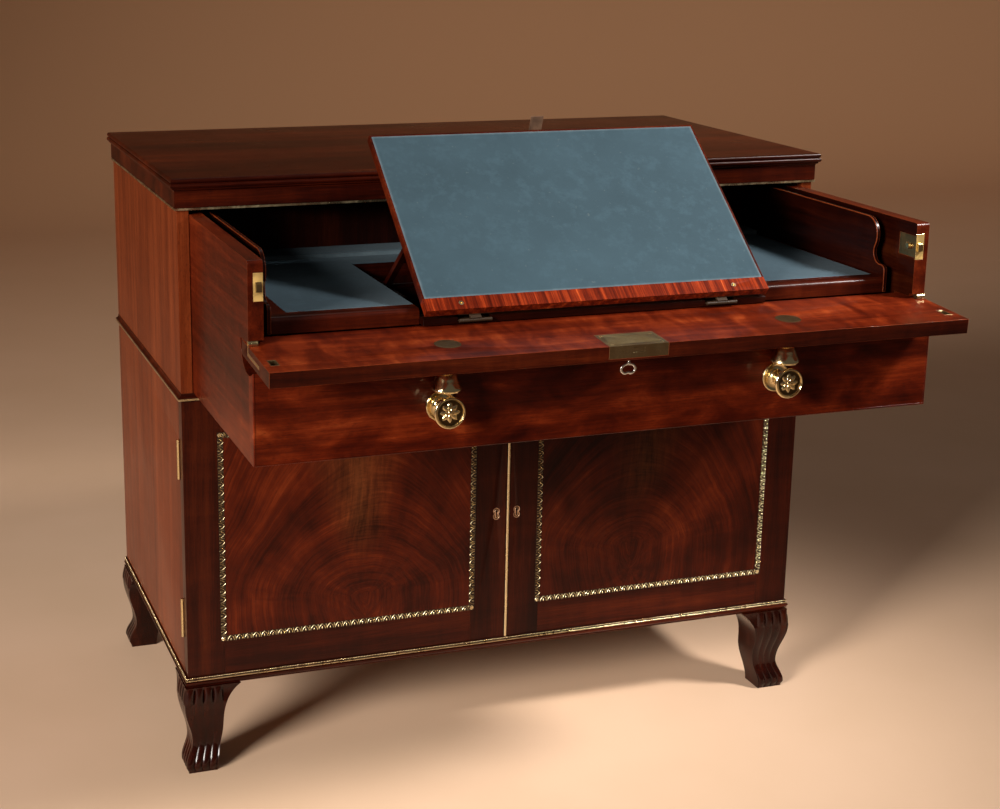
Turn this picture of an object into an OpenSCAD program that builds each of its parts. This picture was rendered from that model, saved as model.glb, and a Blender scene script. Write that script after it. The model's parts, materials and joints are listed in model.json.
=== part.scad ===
// Secretaire cabinet with a pull-out writing drawer, standing as it is used:
// drawer out, fall front down, writing slope raised, cupboard doors closed.
// X runs to the right, Y runs to the back and Z runs up from the floor. Lengths are in millimetres.

/* [Case] */
// Width of the case across its sides
case_w = 1070; // [1000:5:1160]
// Depth of the case
case_d = 562; // [545:1:620]
// Thickness of the side boards
side_t = 18; // [16:0.5:22]
// Height of the feet
foot_h = 147; // [130:1:160]
// Height of the base moulding
base_h = 17.5; // [14:0.5:24]
// How far the base moulding stands out from the case
base_out = 4; // [3:0.5:8]
// Height of the band between the cupboard and the drawer
band_h = 10.5; // [9:0.5:16]
// How far that band stands out
band_out = 5; // [4:0.5:8]
// Height of the frieze under the top, with its brass line
frieze_h = 27.5; // [22:0.5:36]
// How far the frieze stands out
frieze_out = 3.5; // [3:0.5:6]
// Thickness of the top
top_t = 20; // [15:0.5:24]
// Overhang of the top beyond the case
top_out = 10.5; // [8:0.5:16]
// Thickness of the back boards
back_t = 10; // [8:0.5:14]
// Thickness of the shelf
shelf_t = 16; // [12:1:20]
// Height of the shelf above the cupboard floor
shelf_rise = 220; // [150:5:280]

/* [Feet] */
// How far the knee of a foot stands out from the case
knee_out = 8; // [5:0.5:12]
// How far the ankle lies inside the case line
ankle_in = 3; // [0:0.5:8]
// How far the toe stands out
toe_out = 7.5; // [4:0.5:12]
// Width of a foot at the ankle
ankle_w = 61; // [54:1:70]
// Width of a foot at the top, with its bracket
bracket_w = 84; // [78:1:110]
// Depth of the grooves between the reeds on a foot
reed_depth = 2; // [1:0.25:3]

/* [Doors] */
// Height of the cupboard doors
door_h = 452.4; // [420:0.2:480]
// Thickness of the doors
door_t = 24; // [20:0.5:28]
// Width of the stiles and rails of a door
stile_w = 60; // [50:1:72]
// Distance from a door's edge to its brass border
border_inset = 54; // [44:1:62]
// Width of the brass border
border_w = 11.5; // [9:0.5:16]
// Width of the brass strip where the doors meet
meeting_w = 4.6; // [4:0.2:8]
// Height of the keyholes above the foot of the doors
keyhole_rise = 218; // [180:1:260]
// Length of a door hinge
hinge_len = 64; // [50:1:80]

/* [Drawer] */
// How far the drawer is pulled out
pulled_out = 384; // [360:1:400]
// Depth of the drawer box behind its front
box_d = 498; // [470:1:540]
// Height of the drawer front, with the fall above it
front_h = 275.5; // [268:0.5:290]
// Thickness of the drawer front
front_t = 21.5; // [20:0.5:26]
// Thickness of the drawer sides
drawer_side_t = 21; // [16:0.5:22]
// Height of the drawer sides
drawer_side_h = 272.5; // [266:0.5:273]
// Space between the drawer sides and the case
side_gap = 1; // [0.8:0.1:2]
// Distance of the knobs from the middle
knob_x = 257; // [220:1:300]
// Diameter of a knob's face
knob_dia = 40; // [34:1:42]
// How far a knob stands out
knob_out = 33; // [28:1:40]

/* [Fall front] */
// Height of the fall front
fall_h = 148; // [140:0.5:155]
// Height of its hinge pin above its lower edge
fall_heel = 34; // [30:0.5:38]
// How far the fall hangs below level when it is open
fall_sag = 3.74; // [0:0.01:6]
// How far the hinge pin lies behind the inner face of the fall
pin_back = 2.8; // [2:0.1:4]
// Width of the lock plate
lock_w = 88; // [70:1:100]
// Height of the lock plate
lock_h = 53; // [44:1:60]
// How far the lock lies to the left of the middle
lock_left = 6; // [0:1:20]

/* [Writing board and slope] */
// Height of the writing surface above the hinge pin of the fall
board_rise = 22.5; // [20:0.5:30]
// Thickness of the writing board
board_t = 23; // [20:0.5:26]
// Gap between the cheeks and the drawer sides
cheek_gap = 15.6; // [12:0.2:24]
// Thickness of the cheeks
cheek_t = 6; // [5:0.5:9]
// Height of the cheeks above the writing surface
cheek_h = 86; // [78:0.5:87]
// Radius of the cheeks' rounded shoulders
cheek_r = 28; // [24:1:32]
// Radius of the hollows under the cheeks' shoulders
cheek_hollow = 17; // [14:0.5:20]
// Width of the wooden border of the writing surface, on its left and in front
border_band = 27; // [20:1:34]
// Width of that border on the right
border_right = 5; // [4:1:27]
// Depth of the lined ledge at the back of the writing surface
ledge_d = 58; // [40:1:70]
// Width of the writing slope
slope_w = 527; // [480:1:560]
// Length of the writing slope
slope_len = 334; // [300:1:340]
// Thickness of the writing slope
slope_t = 12; // [10:0.5:14]
// Angle at which the slope stands
slope_angle = 38.2; // [20:0.1:45]
// Length of the strut that holds the slope
strut_len = 154; // [130:1:160]
// Thickness of the lining cloth
lining_t = 1.2; // [0.8:0.1:2]

/* [Fits] */
// Clearance where a piece seats in another
seat = 0.3; // [0.2:0.05:0.5]
// Gap left at the mitre of two moulded pieces
mitre_gap = 0.15; // [0.1:0.05:0.3]
// Radial clearance of a hinge pin
pin_clear = 0.05; // [0.03:0.01:0.1]
// Gap under a door and where two doors meet
door_gap = 0.8; // [0.5:0.1:1.5]

/* [Hidden] */
$fn = 48;
half_w = case_w / 2;
inner_x = half_w - side_t;
base_top = foot_h + base_h;
door_z = base_top + door_gap;
door_top = door_z + door_h;
band_z = door_top + 1.5;
band_top = band_z + band_h;
drawer_z = band_top + 0.5;
frieze_z = drawer_z + front_h + 4.5;
frieze_top = frieze_z + frieze_h;
top_z = frieze_top + top_t;
carcass_y = door_t + door_gap;
back_y = case_d - back_t;
brass_h = 3;
brass_out = 0.5;
bead_r = 3.6;

front_y = -pulled_out;
box_y = front_y + front_t;
box_back = box_y + box_d;
front_x = inner_x - side_gap;
box_x = front_x;
box_in = box_x - drawer_side_t;
box_top = drawer_z + drawer_side_h;
bottom_z = drawer_z + 6;
bottom_t = 9;
drawer_back_t = 16;

pin_y = box_y + pin_back - seat;
pin_z = drawer_z + front_h - fall_h + fall_heel;
heel_r = sqrt(pow(fall_heel, 2) + pow(front_t + pin_back - seat, 2)) + 0.5;
fall_t = front_t - seat;
fall_open = 90 + fall_sag;

board_z = pin_z + board_rise;
board_base = board_z - board_t;
rail_y = pin_y + heel_r;
rail_d = 18;
board_front = rail_y + rail_d;
board_back = box_back - drawer_back_t;
ledge_h = 6;

hinge_drop = 4.5;
slope_y = rail_y - 20.4;
slope_z = board_z - slope_t - hinge_drop;
slope_foot = 7.3;
slope_half = slope_w / 2;
well_x = slope_half + 1;
well_back = slope_y + slope_foot + slope_len + 2.6;
cheek_x = box_in - cheek_gap - cheek_t;
strut_arm_x = slope_half - 27.5;
strut_arm_w = 10;
strut_half_t = 3.8;
foot_r = 4;

catch_z = pin_z + 75.5;
catch_h = 38.5;
catch_w = 13.5;
catch_bolt_h = 12.4;
catch_bolt_w = 7.4;
catch_in = 2.4;
catch_throw = 4.5;
catch_nose = 4;
plate_t = 1.5;
fall_plate_len = 52;
keep_a = catch_z - pin_z;

key_a = 85;
key_turn = 90;
key_throw = 8;

door_hinge_x = half_w + 1.2;
door_hinge_y = door_t + door_gap / 2;
hinge_r = 3;
hinge_pin_r = 1.5;
leaf_t = 1.5;
leaf_w = 20;
hinge_low = base_top + 93;
hinge_high = door_top - 99;

// the middle of the whole object in depth, fall and all
fall_reach = (fall_h - fall_heel) * sin(fall_open) - (pin_back + fall_t) * cos(fall_open);
flap_front = pin_y - max(fall_reach, (fall_h - fall_heel) * sin(fall_open) - pin_back * cos(fall_open));
centre_y = (flap_front + case_d + knee_out) / 2;

mahogany = [0.36, 0.11, 0.05];
dark_wood = [0.22, 0.07, 0.04];
deal = [0.62, 0.45, 0.28];
brass = [0.80, 0.62, 0.28];
cloth = [0.20, 0.29, 0.34];
hide = [0.25, 0.14, 0.08];

// a block between two corners
module block(low, high) {
  translate(low) cube(high - low);
}

// the same piece on the left and on the right
module both_sides() {
  children();
  mirror([1, 0, 0]) children();
}

// a point between a and b on a smooth swing, t from 0 to 1
function swing(a, b, t) = a + (b - a) * (1 - cos(180 * t)) / 2;

// points of an arc
function arc(cx, cy, r, from, to, n) =
  [for (i = [0:n]) let (w = from + (to - from) * i / n) [cx + r * cos(w), cy + r * sin(w)]];

// a moulded body round the front and both sides of the case: profile holds [stand-out, height] points
module moulded_body(profile) {
  low = profile[0][1];
  high = profile[len(profile) - 1][1];
  right = [for (p = profile) [half_w + p[0], p[1]]];
  left = [for (i = [len(profile) - 1:-1:0]) [-half_w - profile[i][0], profile[i][1]]];
  intersection() {
    translate([0, case_d, 0]) rotate([90, 0, 0]) linear_extrude(case_d + 60) polygon(concat(right, left));
    translate([-case_w, 0, 0]) rotate([90, 0, 90]) linear_extrude(2 * case_w)
      polygon(concat([for (p = profile) [-p[0], p[1]]], [[case_d, high], [case_d, low]]));
  }
}

// the three mitred lengths of a moulding, hollow inside the line that lies `inset` within the case
module mitred_band(profile, inset) {
  low = profile[0][1] - 1;
  high = profile[len(profile) - 1][1] + 1;
  difference() {
    moulded_body(profile);
    block([-half_w + inset, inset, low], [half_w - inset, case_d + 1, high]);
    both_sides() translate([half_w, 0, low]) rotate([0, 0, -45])
      translate([-80, -mitre_gap / 2, 0]) cube([160, mitre_gap, high - low]);
  }
}

module case_side(sign) {
  x0 = sign > 0 ? inner_x : -half_w;
  x1 = sign > 0 ? half_w : -inner_x;
  bearer = sign > 0 ? [inner_x - 12, inner_x] : [-inner_x, -inner_x + 12];
  shelf_z = base_top + shelf_rise;
  color(mahogany) {
    difference() {
      union() {
        block([x0, carcass_y, base_top], [x1, case_d, band_z - mitre_gap]);
        block([bearer[0], 60, shelf_z - 16], [bearer[1], back_y - 10, shelf_z]);
      }
      for (z = [hinge_low, hinge_high]) hinge_pocket(sign, z);
    }
    block([x0, 0, band_z], [x1, case_d, frieze_top]);
  }
}

// room for a door hinge: its barrel and its leaves
module hinge_pocket(sign, z) {
  translate([sign * door_hinge_x, door_hinge_y, z - hinge_len / 2 - seat])
    cylinder(r = hinge_r + seat, h = hinge_len + 2 * seat);
  x = sign > 0 ? [half_w - leaf_w - seat, half_w + 1] : [-half_w - 1, -half_w + leaf_w + seat];
  block([x[0], door_hinge_y - leaf_t - seat - 0.1, z - hinge_len / 2 - seat],
        [x[1], door_hinge_y + leaf_t + seat + 0.1, z + hinge_len / 2 + seat]);
}

module case_side_left() case_side(-1);
module case_side_right() case_side(1);

// upright boards with grooves between them, held by the sides
module case_back() {
  boards = 7;
  pitch = 2 * (inner_x - seat) / boards;
  color(deal) difference() {
    block([-inner_x + seat, back_y, base_top], [inner_x - seat, case_d - 0.5, frieze_top]);
    for (i = [1:boards - 1]) translate([-inner_x + seat + i * pitch, case_d - 0.5, base_top - 1])
      rotate([0, 0, 45]) translate([-1.5, -1.5, 0]) cube([3, 3, frieze_top - base_top + 2]);
  }
}

module case_floor() {
  color(dark_wood) block([-half_w + 34 + seat, 34 + seat, base_top - 16], [half_w - 34 - seat, back_y, base_top]);
}

module dust_board() {
  color(dark_wood) block([-inner_x, 0, band_z], [inner_x, back_y, band_top]);
}

module shelf() {
  z = base_top + shelf_rise;
  color(dark_wood) block([-inner_x + seat, 60, z], [inner_x - seat, back_y, z + shelf_t]);
}

// strips that guide the drawer and keep it from tipping
module drawer_guides() {
  color(deal) both_sides() {
    block([box_in + 3, 24, box_top + 0.7], [inner_x, back_y, frieze_top]);
    block([box_in - 20, back_y - 26, band_top], [box_in + 6, back_y, band_top + 24]);
  }
}

// two beads over a cove
module top_board() {
  r = bead_r;
  cove_z = frieze_top + top_t - 4 * r;
  color(mahogany) moulded_body(concat(
    [[0, frieze_top], [frieze_out, frieze_top]],
    arc(top_out - r, frieze_top, top_out - r - frieze_out, 180, 90, 5),
    [[top_out - r, cove_z]],
    arc(top_out - r, cove_z + r, r, -90, 90, 8),
    arc(top_out - r - 0.8, cove_z + 3 * r, r, -90, 90, 8)));
}

module frieze() {
  profile = [[0, frieze_z], [0, frieze_z + brass_h + 0.5], [frieze_out, frieze_z + brass_h + 0.5],
             [frieze_out, frieze_top]];
  color(mahogany) {
    mitred_band(profile, 0);
    block([-inner_x + seat, 0, frieze_z], [inner_x - seat, 22, frieze_top - seat]);
  }
}

// brass lines under the frieze and under the band, each in three mitred lengths
module brass_lines() {
  color(brass) {
    line_of_brass(frieze_z, frieze_out + brass_out);
    line_of_brass(band_z, band_out + brass_out);
  }
}

module line_of_brass(z, out) {
  mitred_band([[out, z], [out, z + brass_h]], 0);
}

// a cove that stands on the brass line
module band_moulding() {
  z0 = band_z + brass_h + 0.2;
  r = band_top - z0 - 3;
  color(mahogany) mitred_band(concat(
    [[0, z0], [band_out, z0], [band_out, z0 + 1.5]],
    arc(band_out, z0 + 1.5 + r, r, 270, 180, 5),
    [[max(band_out - r, 0.8), band_top]]), 0);
}

module base_moulding() {
  r = base_h - 11;
  color(mahogany) mitred_band(concat(
    [[-1, foot_h], [-1, foot_h + 3]],
    arc(-1, foot_h + 3 + r, r, 270, 360, 5),
    [[base_out - 0.7, foot_h + 3 + r], [base_out - 0.7, base_top - 7.6], [-0.3, base_top - 7.6],
     [-0.3, base_top]]), 34);
}

// two brass reeds that run round the foot of the case
module base_reeds() {
  r = 1.85;
  inner = -0.1;
  color(brass) for (z = [base_top - 3.7 - r, base_top - r]) mitred_band(concat(
    [[inner, z - r]], arc(base_out - r, z, r, -90, 90, 8), [[inner, z + r]]), 0.1);
}

// a foot's outer line: how far it stands out of the case at height z
function foot_out(z) =
  let (t = 14 * z / foot_h)
  t < 1 ? swing(toe_out - 3, toe_out, t)
  : t < 4.5 ? swing(toe_out, -ankle_in, (t - 1) / 3.5)
  : t < 10.5 ? swing(-ankle_in, knee_out, (t - 4.5) / 6)
  : swing(knee_out, knee_out - 3, (t - 10.5) / 3.5);

// a foot's inner line: how far it reaches in from the case at height z
function foot_in(z) =
  let (t = z / foot_h, w = ankle_w - ankle_in)
  t < 0.5 ? swing(w - 12, w, t / 0.5) : w + (bracket_w - w) * pow(max(0, t - 0.55) / 0.45, 3.2);

// one face's outline with its front drawn in by `depth`
module foot_outline(depth) {
  steps = 14;
  polygon(concat(
    [for (i = [0:steps]) let (z = foot_h * i / steps) [-foot_out(z) + depth, z]],
    [for (i = [steps:-1:0]) let (z = foot_h * i / steps) [foot_in(z), z]]));
}

// the outline drawn across a foot in reeds and grooves, over the length that is reeded
module reeded_slab() {
  reeds = 5;
  groove = 2.6;
  from = -20;
  pitch = (ankle_w - ankle_in + 10) / reeds;
  far = bracket_w + 10;
  rotate([90, 0, 90]) {
    translate([0, 0, from]) linear_extrude(far - from) foot_outline(reed_depth);
    for (i = [0:reeds - 1]) {
      start = i == 0 ? from : -10 + i * pitch + groove / 2;
      stop = i == reeds - 1 ? far : -10 + (i + 1) * pitch - groove / 2;
      translate([0, 0, start]) linear_extrude(stop - start) foot_outline(0);
    }
  }
}

// a foot at the front left corner, its outer corner on the case's corner
module foot() {
  color(dark_wood) intersection() {
    reeded_slab();
    mirror([1, -1, 0]) reeded_slab();
  }
}

module foot_front_left() translate([-half_w, 0, 0]) foot();
module foot_front_right() mirror([1, 0, 0]) foot_front_left();
module foot_back_left() translate([0, case_d, 0]) mirror([0, 1, 0]) foot_front_left();
module foot_back_right() mirror([1, 0, 0]) foot_back_left();

// plate under the frieze with a slot for the bolt of the fall
module lock_keep() {
  x = -lock_left;
  color(brass) difference() {
    block([x - 16, 3, frieze_z - 1.2], [x + 16, 19, frieze_z]);
    block([x - 9, 8, frieze_z - 2], [x + 9, 14.5, frieze_z + 1]);
  }
}

// fixed leaves of the door hinges, with the outer knuckles and the pins
module case_hinges() {
  third = hinge_len / 3;
  color(brass) both_sides() for (z = [hinge_low, hinge_high]) translate([door_hinge_x, door_hinge_y, z]) {
    for (s = [-1, 1]) translate([0, 0, s * third - third / 2 + 0.1]) {
      cylinder(r = hinge_r, h = third - 0.2);
      block([-1.2 - leaf_w, 0.15, 0], [0, 0.15 + leaf_t, third - 0.2]);
    }
    translate([0, 0, -hinge_len / 2 + 0.1]) cylinder(r = hinge_pin_r, h = hinge_len - 0.2);
    block([-1.2 - leaf_w, 0.15, -hinge_len / 2 + 0.1], [-hinge_r - 1, 0.15 + leaf_t, hinge_len / 2 - 0.1]);
  }
}

// moving leaf of a right-hand hinge: the middle knuckle turns on the pin
module door_hinges(sign) {
  third = hinge_len / 3;
  color(brass) for (z = [hinge_low, hinge_high])
    translate([sign * door_hinge_x, door_hinge_y, z]) mirror([sign < 0 ? 1 : 0, 0, 0])
      difference() {
        union() {
          translate([0, 0, -third / 2 + 0.1]) cylinder(r = hinge_r, h = third - 0.2);
          block([-1.2 - leaf_w, -0.15 - leaf_t, -third / 2 + 0.1], [0, -0.15, third / 2 - 0.1]);
          block([-1.2 - leaf_w, -0.15 - leaf_t, -hinge_len / 2 + 0.1],
                [-hinge_r - 1, -0.15, hinge_len / 2 - 0.1]);
        }
        translate([0, 0, -hinge_len]) cylinder(r = hinge_pin_r + pin_clear, h = 2 * hinge_len);
      }
}

// the box that a door fills, from its meeting edge to its hinged edge, for the right-hand door
door_in = door_gap / 2;
door_out = half_w;

module door_frame(sign) {
  z0 = door_z;
  z1 = door_top;
  w = stile_w;
  g = mitre_gap;
  color(mahogany) mirror([sign < 0 ? 1 : 0, 0, 0]) difference() {
    union() {
      block([door_in, 0, z0], [door_in + w, door_t, z1]);
      block([door_out - w, 0, z0], [door_out, door_t, z1]);
      block([door_in + w + g, 0, z0], [door_out - w - g, door_t, z0 + w]);
      block([door_in + w + g, 0, z1 - w], [door_out - w - g, door_t, z1]);
    }
    for (z = [hinge_low, hinge_high]) hinge_pocket(1, z);
    lock_mortise(sign);
    keyhole_cut();
  }
}

keyhole_x = 18;
keyhole_z = door_z + keyhole_rise;
bolt_w = 6;
bolt_h = 16;
bolt_len = 26;
door_bolt_throw = 7;

// the pocket that the bolt lives in, or the shallow one that it shoots into
module lock_mortise(sign) {
  depth = sign > 0 ? bolt_len + 1 : door_bolt_throw + 1.5;
  block([door_in - 1, door_t / 2 - bolt_w / 2 - seat, keyhole_z - 24 - seat],
        [door_in + depth, door_t / 2 + bolt_w / 2 + seat, keyhole_z - 24 + bolt_h + seat]);
}

module keyhole_cut() {
  translate([keyhole_x, -5, keyhole_z + 4]) rotate([-90, 0, 0]) cylinder(r = 2.2, h = 12, $fn = 12);
  block([keyhole_x - 1.1, -5, keyhole_z - 6], [keyhole_x + 1.1, 7, keyhole_z + 4]);
}

module door_panel(sign) {
  w = stile_w + seat;
  color(mahogany) mirror([sign < 0 ? 1 : 0, 0, 0])
    block([door_in + w, 0, door_z + w], [door_out - w, 14, door_top - w]);
}

// a thin brass border in four mitred strips
module door_border(sign) {
  a = border_inset;
  b = a + border_w;
  t = 1.5;
  x0 = door_in + a;
  x1 = door_out - a;
  z0 = door_z + a;
  z1 = door_top - a;
  color(brass) mirror([sign < 0 ? 1 : 0, 0, 0]) difference() {
    block([x0, -t, z0], [x1, 0, z1]);
    block([x0 + border_w, -t - 1, z0 + border_w], [x1 - border_w, 1, z1 - border_w]);
    for (c = [[x0, z0, -45], [x0, z1, 45], [x1, z0, 45], [x1, z1, -45]])
      translate([c[0], 0, c[1]]) rotate([0, c[2], 0])
        translate([-2 * border_w, -t - 1, -mitre_gap / 2]) cube([4 * border_w, t + 2, mitre_gap]);
  }
}

// a figure-of-eight plate round a keyhole
module door_escutcheon(sign) {
  color(brass) mirror([sign < 0 ? 1 : 0, 0, 0]) difference() {
    translate([keyhole_x, -1, keyhole_z]) rotate([-90, 0, 0]) linear_extrude(1) {
      translate([0, -4.6]) circle(r = 5.6);
      translate([0, 4.6]) circle(r = 5.6);
      square([4, 9], center = true);
    }
    keyhole_cut();
  }
}

module door_left_frame() door_frame(-1);
module door_right_frame() door_frame(1);
module door_left_panel() door_panel(-1);
module door_right_panel() door_panel(1);
module door_left_border() door_border(-1);
module door_right_border() door_border(1);
module door_left_escutcheon() door_escutcheon(-1);
module door_right_escutcheon() door_escutcheon(1);
module door_left_hinges() door_hinges(-1);
module door_right_hinges() door_hinges(1);

module door_lock_bolt() {
  color(brass) block([door_in + seat, door_t / 2 - bolt_w / 2, keyhole_z - 24],
                     [door_in + seat + bolt_len - 1, door_t / 2 + bolt_w / 2, keyhole_z - 24 + bolt_h]);
}

// a rounded brass strip on the edge of the right-hand door
module meeting_strip() {
  r = meeting_w / 2;
  color(brass) intersection() {
    translate([door_in + r, 0.6, door_z]) cylinder(r = r, h = door_h);
    block([door_in, -3, door_z], [door_in + meeting_w, 0, door_top]);
  }
}

// a drawer side with the notch that the heel of the fall turns in, and the pocket of its catch
module drawer_side(sign) {
  color(mahogany) mirror([sign < 0 ? 1 : 0, 0, 0]) difference() {
    block([box_in, box_y, drawer_z], [box_x, box_back, box_top]);
    intersection() {
      translate([box_in - 1, pin_y, pin_z]) rotate([0, 90, 0]) cylinder(r = heel_r, h = drawer_side_t + 2);
      block([box_in - 2, box_y - 50, pin_z - 60], [box_x + 2, box_y + 60, pin_z]);
    }
    translate([box_in - 1, pin_y, pin_z]) rotate([0, 90, 0]) cylinder(r = 5, h = drawer_side_t + 2);
    fall_plate_pocket();
    catch_pocket();
  }
}

module fall_plate_pocket() {
  block([box_x - 13 - seat, box_y - 1, pin_z - 1],
        [box_x - 4 + seat, pin_y + fall_plate_len + seat, pin_z + plate_t + 0.1]);
}

// everything that is cut from a drawer side for its catch
module catch_pocket() {
  z0 = catch_z - catch_h / 2;
  z1 = catch_z + catch_h / 2;
  s = 0.15;
  block([box_in - 1, box_y - 1, z0 - s], [box_in + catch_w + s, box_y + plate_t + s, z1 + s]);
  block([box_in - 1, box_y - 1, z0 + 3 - s], [box_in + plate_t + s, box_y + 42 + s, z1 - 3 + s]);
  block([box_in + catch_in - 0.4, box_y - 1, catch_z - catch_bolt_h / 2 - seat],
        [box_in + catch_in + catch_bolt_w + seat, box_y + 31, catch_z + catch_bolt_h / 2 + seat]);
  block([box_in - 1, box_y + 15 - 4 - seat, catch_z - 4 - seat],
        [box_in + 5, box_y + 15 + catch_throw + 4 + seat, catch_z + 4 + seat]);
}

module drawer_side_left() drawer_side(-1);
module drawer_side_right() drawer_side(1);

module drawer_back() {
  color(deal) block([-box_in, board_back, drawer_z + 3], [box_in, box_back, box_top - 8]);
}

module drawer_bottom() {
  color(deal) block([-box_in, box_y, bottom_z], [box_in, board_back, bottom_z + bottom_t]);
}

// the lower front: its top edge is hollowed for the turning heel of the fall
module drawer_front() {
  lip = pin_z - sqrt(pow(heel_r, 2) - pow(pin_y - front_y, 2));
  bead = 1.6;
  color(mahogany) difference() {
    union() {
      block([-front_x + bead, front_y, drawer_z + bead], [front_x - bead, box_y, lip + 1]);
      both_sides() translate([front_x - bead, front_y + bead - 0.6, drawer_z + bead])
        cylinder(r = bead, h = lip + 1 - drawer_z - bead);
      translate([-front_x + bead, front_y + bead - 0.6, drawer_z + bead]) rotate([0, 90, 0])
        cylinder(r = bead, h = 2 * (front_x - bead));
      both_sides() block([front_x - 2 * bead, front_y + bead - 0.6, drawer_z], [front_x, box_y, lip + 1]);
      block([-front_x, front_y + bead - 0.6, drawer_z], [front_x, box_y, drawer_z + 2 * bead]);
    }
    translate([-case_w, pin_y, pin_z]) rotate([0, 90, 0]) cylinder(r = heel_r, h = 2 * case_w);
    for (x = [-knob_x, knob_x]) translate([x, front_y - 1, front_knob_z]) rotate([-90, 0, 0])
      cylinder(r = 4.2, h = front_t + 2);
  }
}

front_knob_z = drawer_z + (pin_z - fall_heel - drawer_z) / 2;

// a turned knob standing on the plane z = 0 and facing up: flange, neck, swelling head with a ringed face
module knob() {
  r = knob_dia / 2;
  h = knob_out;
  rotate_extrude() polygon(concat(
    [[0, 0], [r * 0.95, 0], [r * 0.95, 1.4]],
    arc(r * 0.95 - 1.6, 3, 1.6, -45, 90, 4),
    [[r * 0.72, 4.6]],
    arc(r * 0.72, 9.6, 5, 270, 180, 5),
    [[r * 0.48, h * 0.42]],
    arc(r * 0.48 + 3.6, h * 0.42, 3.6, 180, 90, 4),
    arc(r - 4.8, h * 0.42 + 8.4, 4.8, -70, 90, 8),
    [[r * 0.84, h - 2.4], [r * 0.8, h], [r * 0.7, h], [r * 0.66, h - 1.6], [0, h - 0.8]]));
}

// a knob with its bolt and its round plate inside, through a board of thickness t below the plane z = 0
module bolted_knob(t) {
  knob();
  translate([0, 0, -t]) cylinder(r = 4, h = t + 2);
  translate([0, 0, -t - 1.5]) cylinder(r = 9, h = 1.5, $fn = 6);
}

module drawer_knobs() {
  color(brass) for (x = [-knob_x, knob_x]) translate([x, front_y, front_knob_z]) rotate([90, 0, 0])
    bolted_knob(front_t);
}

// the board in three pieces round the well: its border stands flush with the lining
module writing_board() {
  g = mitre_gap / 2;
  y0 = board_front;
  y1 = board_back - 0.1;
  yw = well_back;
  color(mahogany) difference() {
    union() {
      both_sides() block([well_x, y0, board_base], [cheek_x - 0.2, yw - g, board_z]);
      block([-cheek_x + 0.2, yw + g, board_base], [cheek_x - 0.2, y1, board_z]);
      block([-cheek_x + 0.2, y1 - ledge_d, board_z - 1], [cheek_x - 0.2, y1, board_z + ledge_h]);
    }
    for (x = [[-cheek_x + border_band, -well_x + 1], [well_x - 1, cheek_x - border_right]])
      block([x[0], y0 + border_band - rail_d, board_z - lining_t], [x[1], yw + 1, board_z + 1]);
    block([-cheek_x + border_band, yw - 1, board_z - lining_t],
          [cheek_x - border_right, y1 - ledge_d, board_z + 1]);
  }
}

module writing_lining() {
  c = 0.1;
  y0 = board_front + border_band - rail_d + c;
  y1 = board_back - ledge_d - c;
  color(cloth) {
    difference() {
      block([-cheek_x + border_band + c, y0, board_z - lining_t], [cheek_x - border_right - c, y1, board_z]);
      block([-well_x - 0.5, y0 - 1, board_z - 5], [well_x + 0.5, well_back + 0.5, board_z + 5]);
    }
    block([-cheek_x + 4, y1 + 2 + c, board_z + ledge_h], [cheek_x - 4, board_back - 2, board_z + ledge_h + lining_t]);
  }
}

// rounded rails at the front of the board, and the low rail that carries the slope's hinges
module tray_rail() {
  r = 7;
  h = board_t;
  color(mahogany) {
    both_sides() translate([well_x, rail_y, board_base]) rotate([90, 0, 90])
      linear_extrude(cheek_x - 0.2 - well_x) polygon(concat(
        [[rail_d, 0], [0, 0]], [[0, h - r]], arc(r, h - r, r, 180, 90, 6), [[rail_d, h]]));
    block([-well_x - 4, rail_y + 4, board_base - 12], [well_x + 4, board_front, board_base - 0.2]);
    difference() {
      block([-well_x + seat, slope_y + 4.5, pin_z + 0.6], [well_x - seat, board_front, slope_z + hinge_drop - 0.5]);
      for (x = slope_hinge_places) block([x - 24.3, slope_y - 9, slope_z - 1.2], [x + 24.3, slope_y + 26, board_z]);
    }
  }
}

// Upright boards inside the drawer. The front of each is an S: a round shoulder, a hollow and a small nose.
module tray_cheeks() {
  h = cheek_h + board_t;
  nose_r = 9;
  nose_z = board_t + 17.8;
  hollow_z = nose_z + cheek_hollow;
  shoulder_z = h - cheek_r;
  lean = asin((shoulder_z - hollow_z) / (cheek_r + cheek_hollow));
  shoulder_y = 14 + (cheek_r + cheek_hollow) * cos(lean);
  color(mahogany) both_sides() translate([cheek_x, rail_y, board_base]) rotate([90, 0, 90])
    linear_extrude(cheek_t) polygon(concat(
      [[0, 0]],
      arc(nose_r, nose_z - nose_r, nose_r, 180, 90, 6),
      arc(14, hollow_z, cheek_hollow, -90, lean, 10),
      arc(shoulder_y, shoulder_z, cheek_r, 180 + lean - 2, 90, 12),
      [[board_back - 0.1 - rail_y, h], [board_back - 0.1 - rail_y, 0]]));
}

// walls of the well under the slope, and the bearers under the ends of the board
module well_walls() {
  z0 = bottom_z + bottom_t;
  t = 8;
  color(deal) {
    both_sides() block([well_x, board_front + seat, z0], [well_x + t, well_back, board_base]);
    block([-well_x - t, well_back + seat, z0], [well_x + t, well_back + seat + t, board_base]);
    block([-well_x - t, rail_y + 6, z0], [well_x + t, board_front, board_base - 12.3]);
    both_sides() block([cheek_x - 12, board_front, board_base - 16], [box_in, board_back, board_base]);
  }
}

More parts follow.
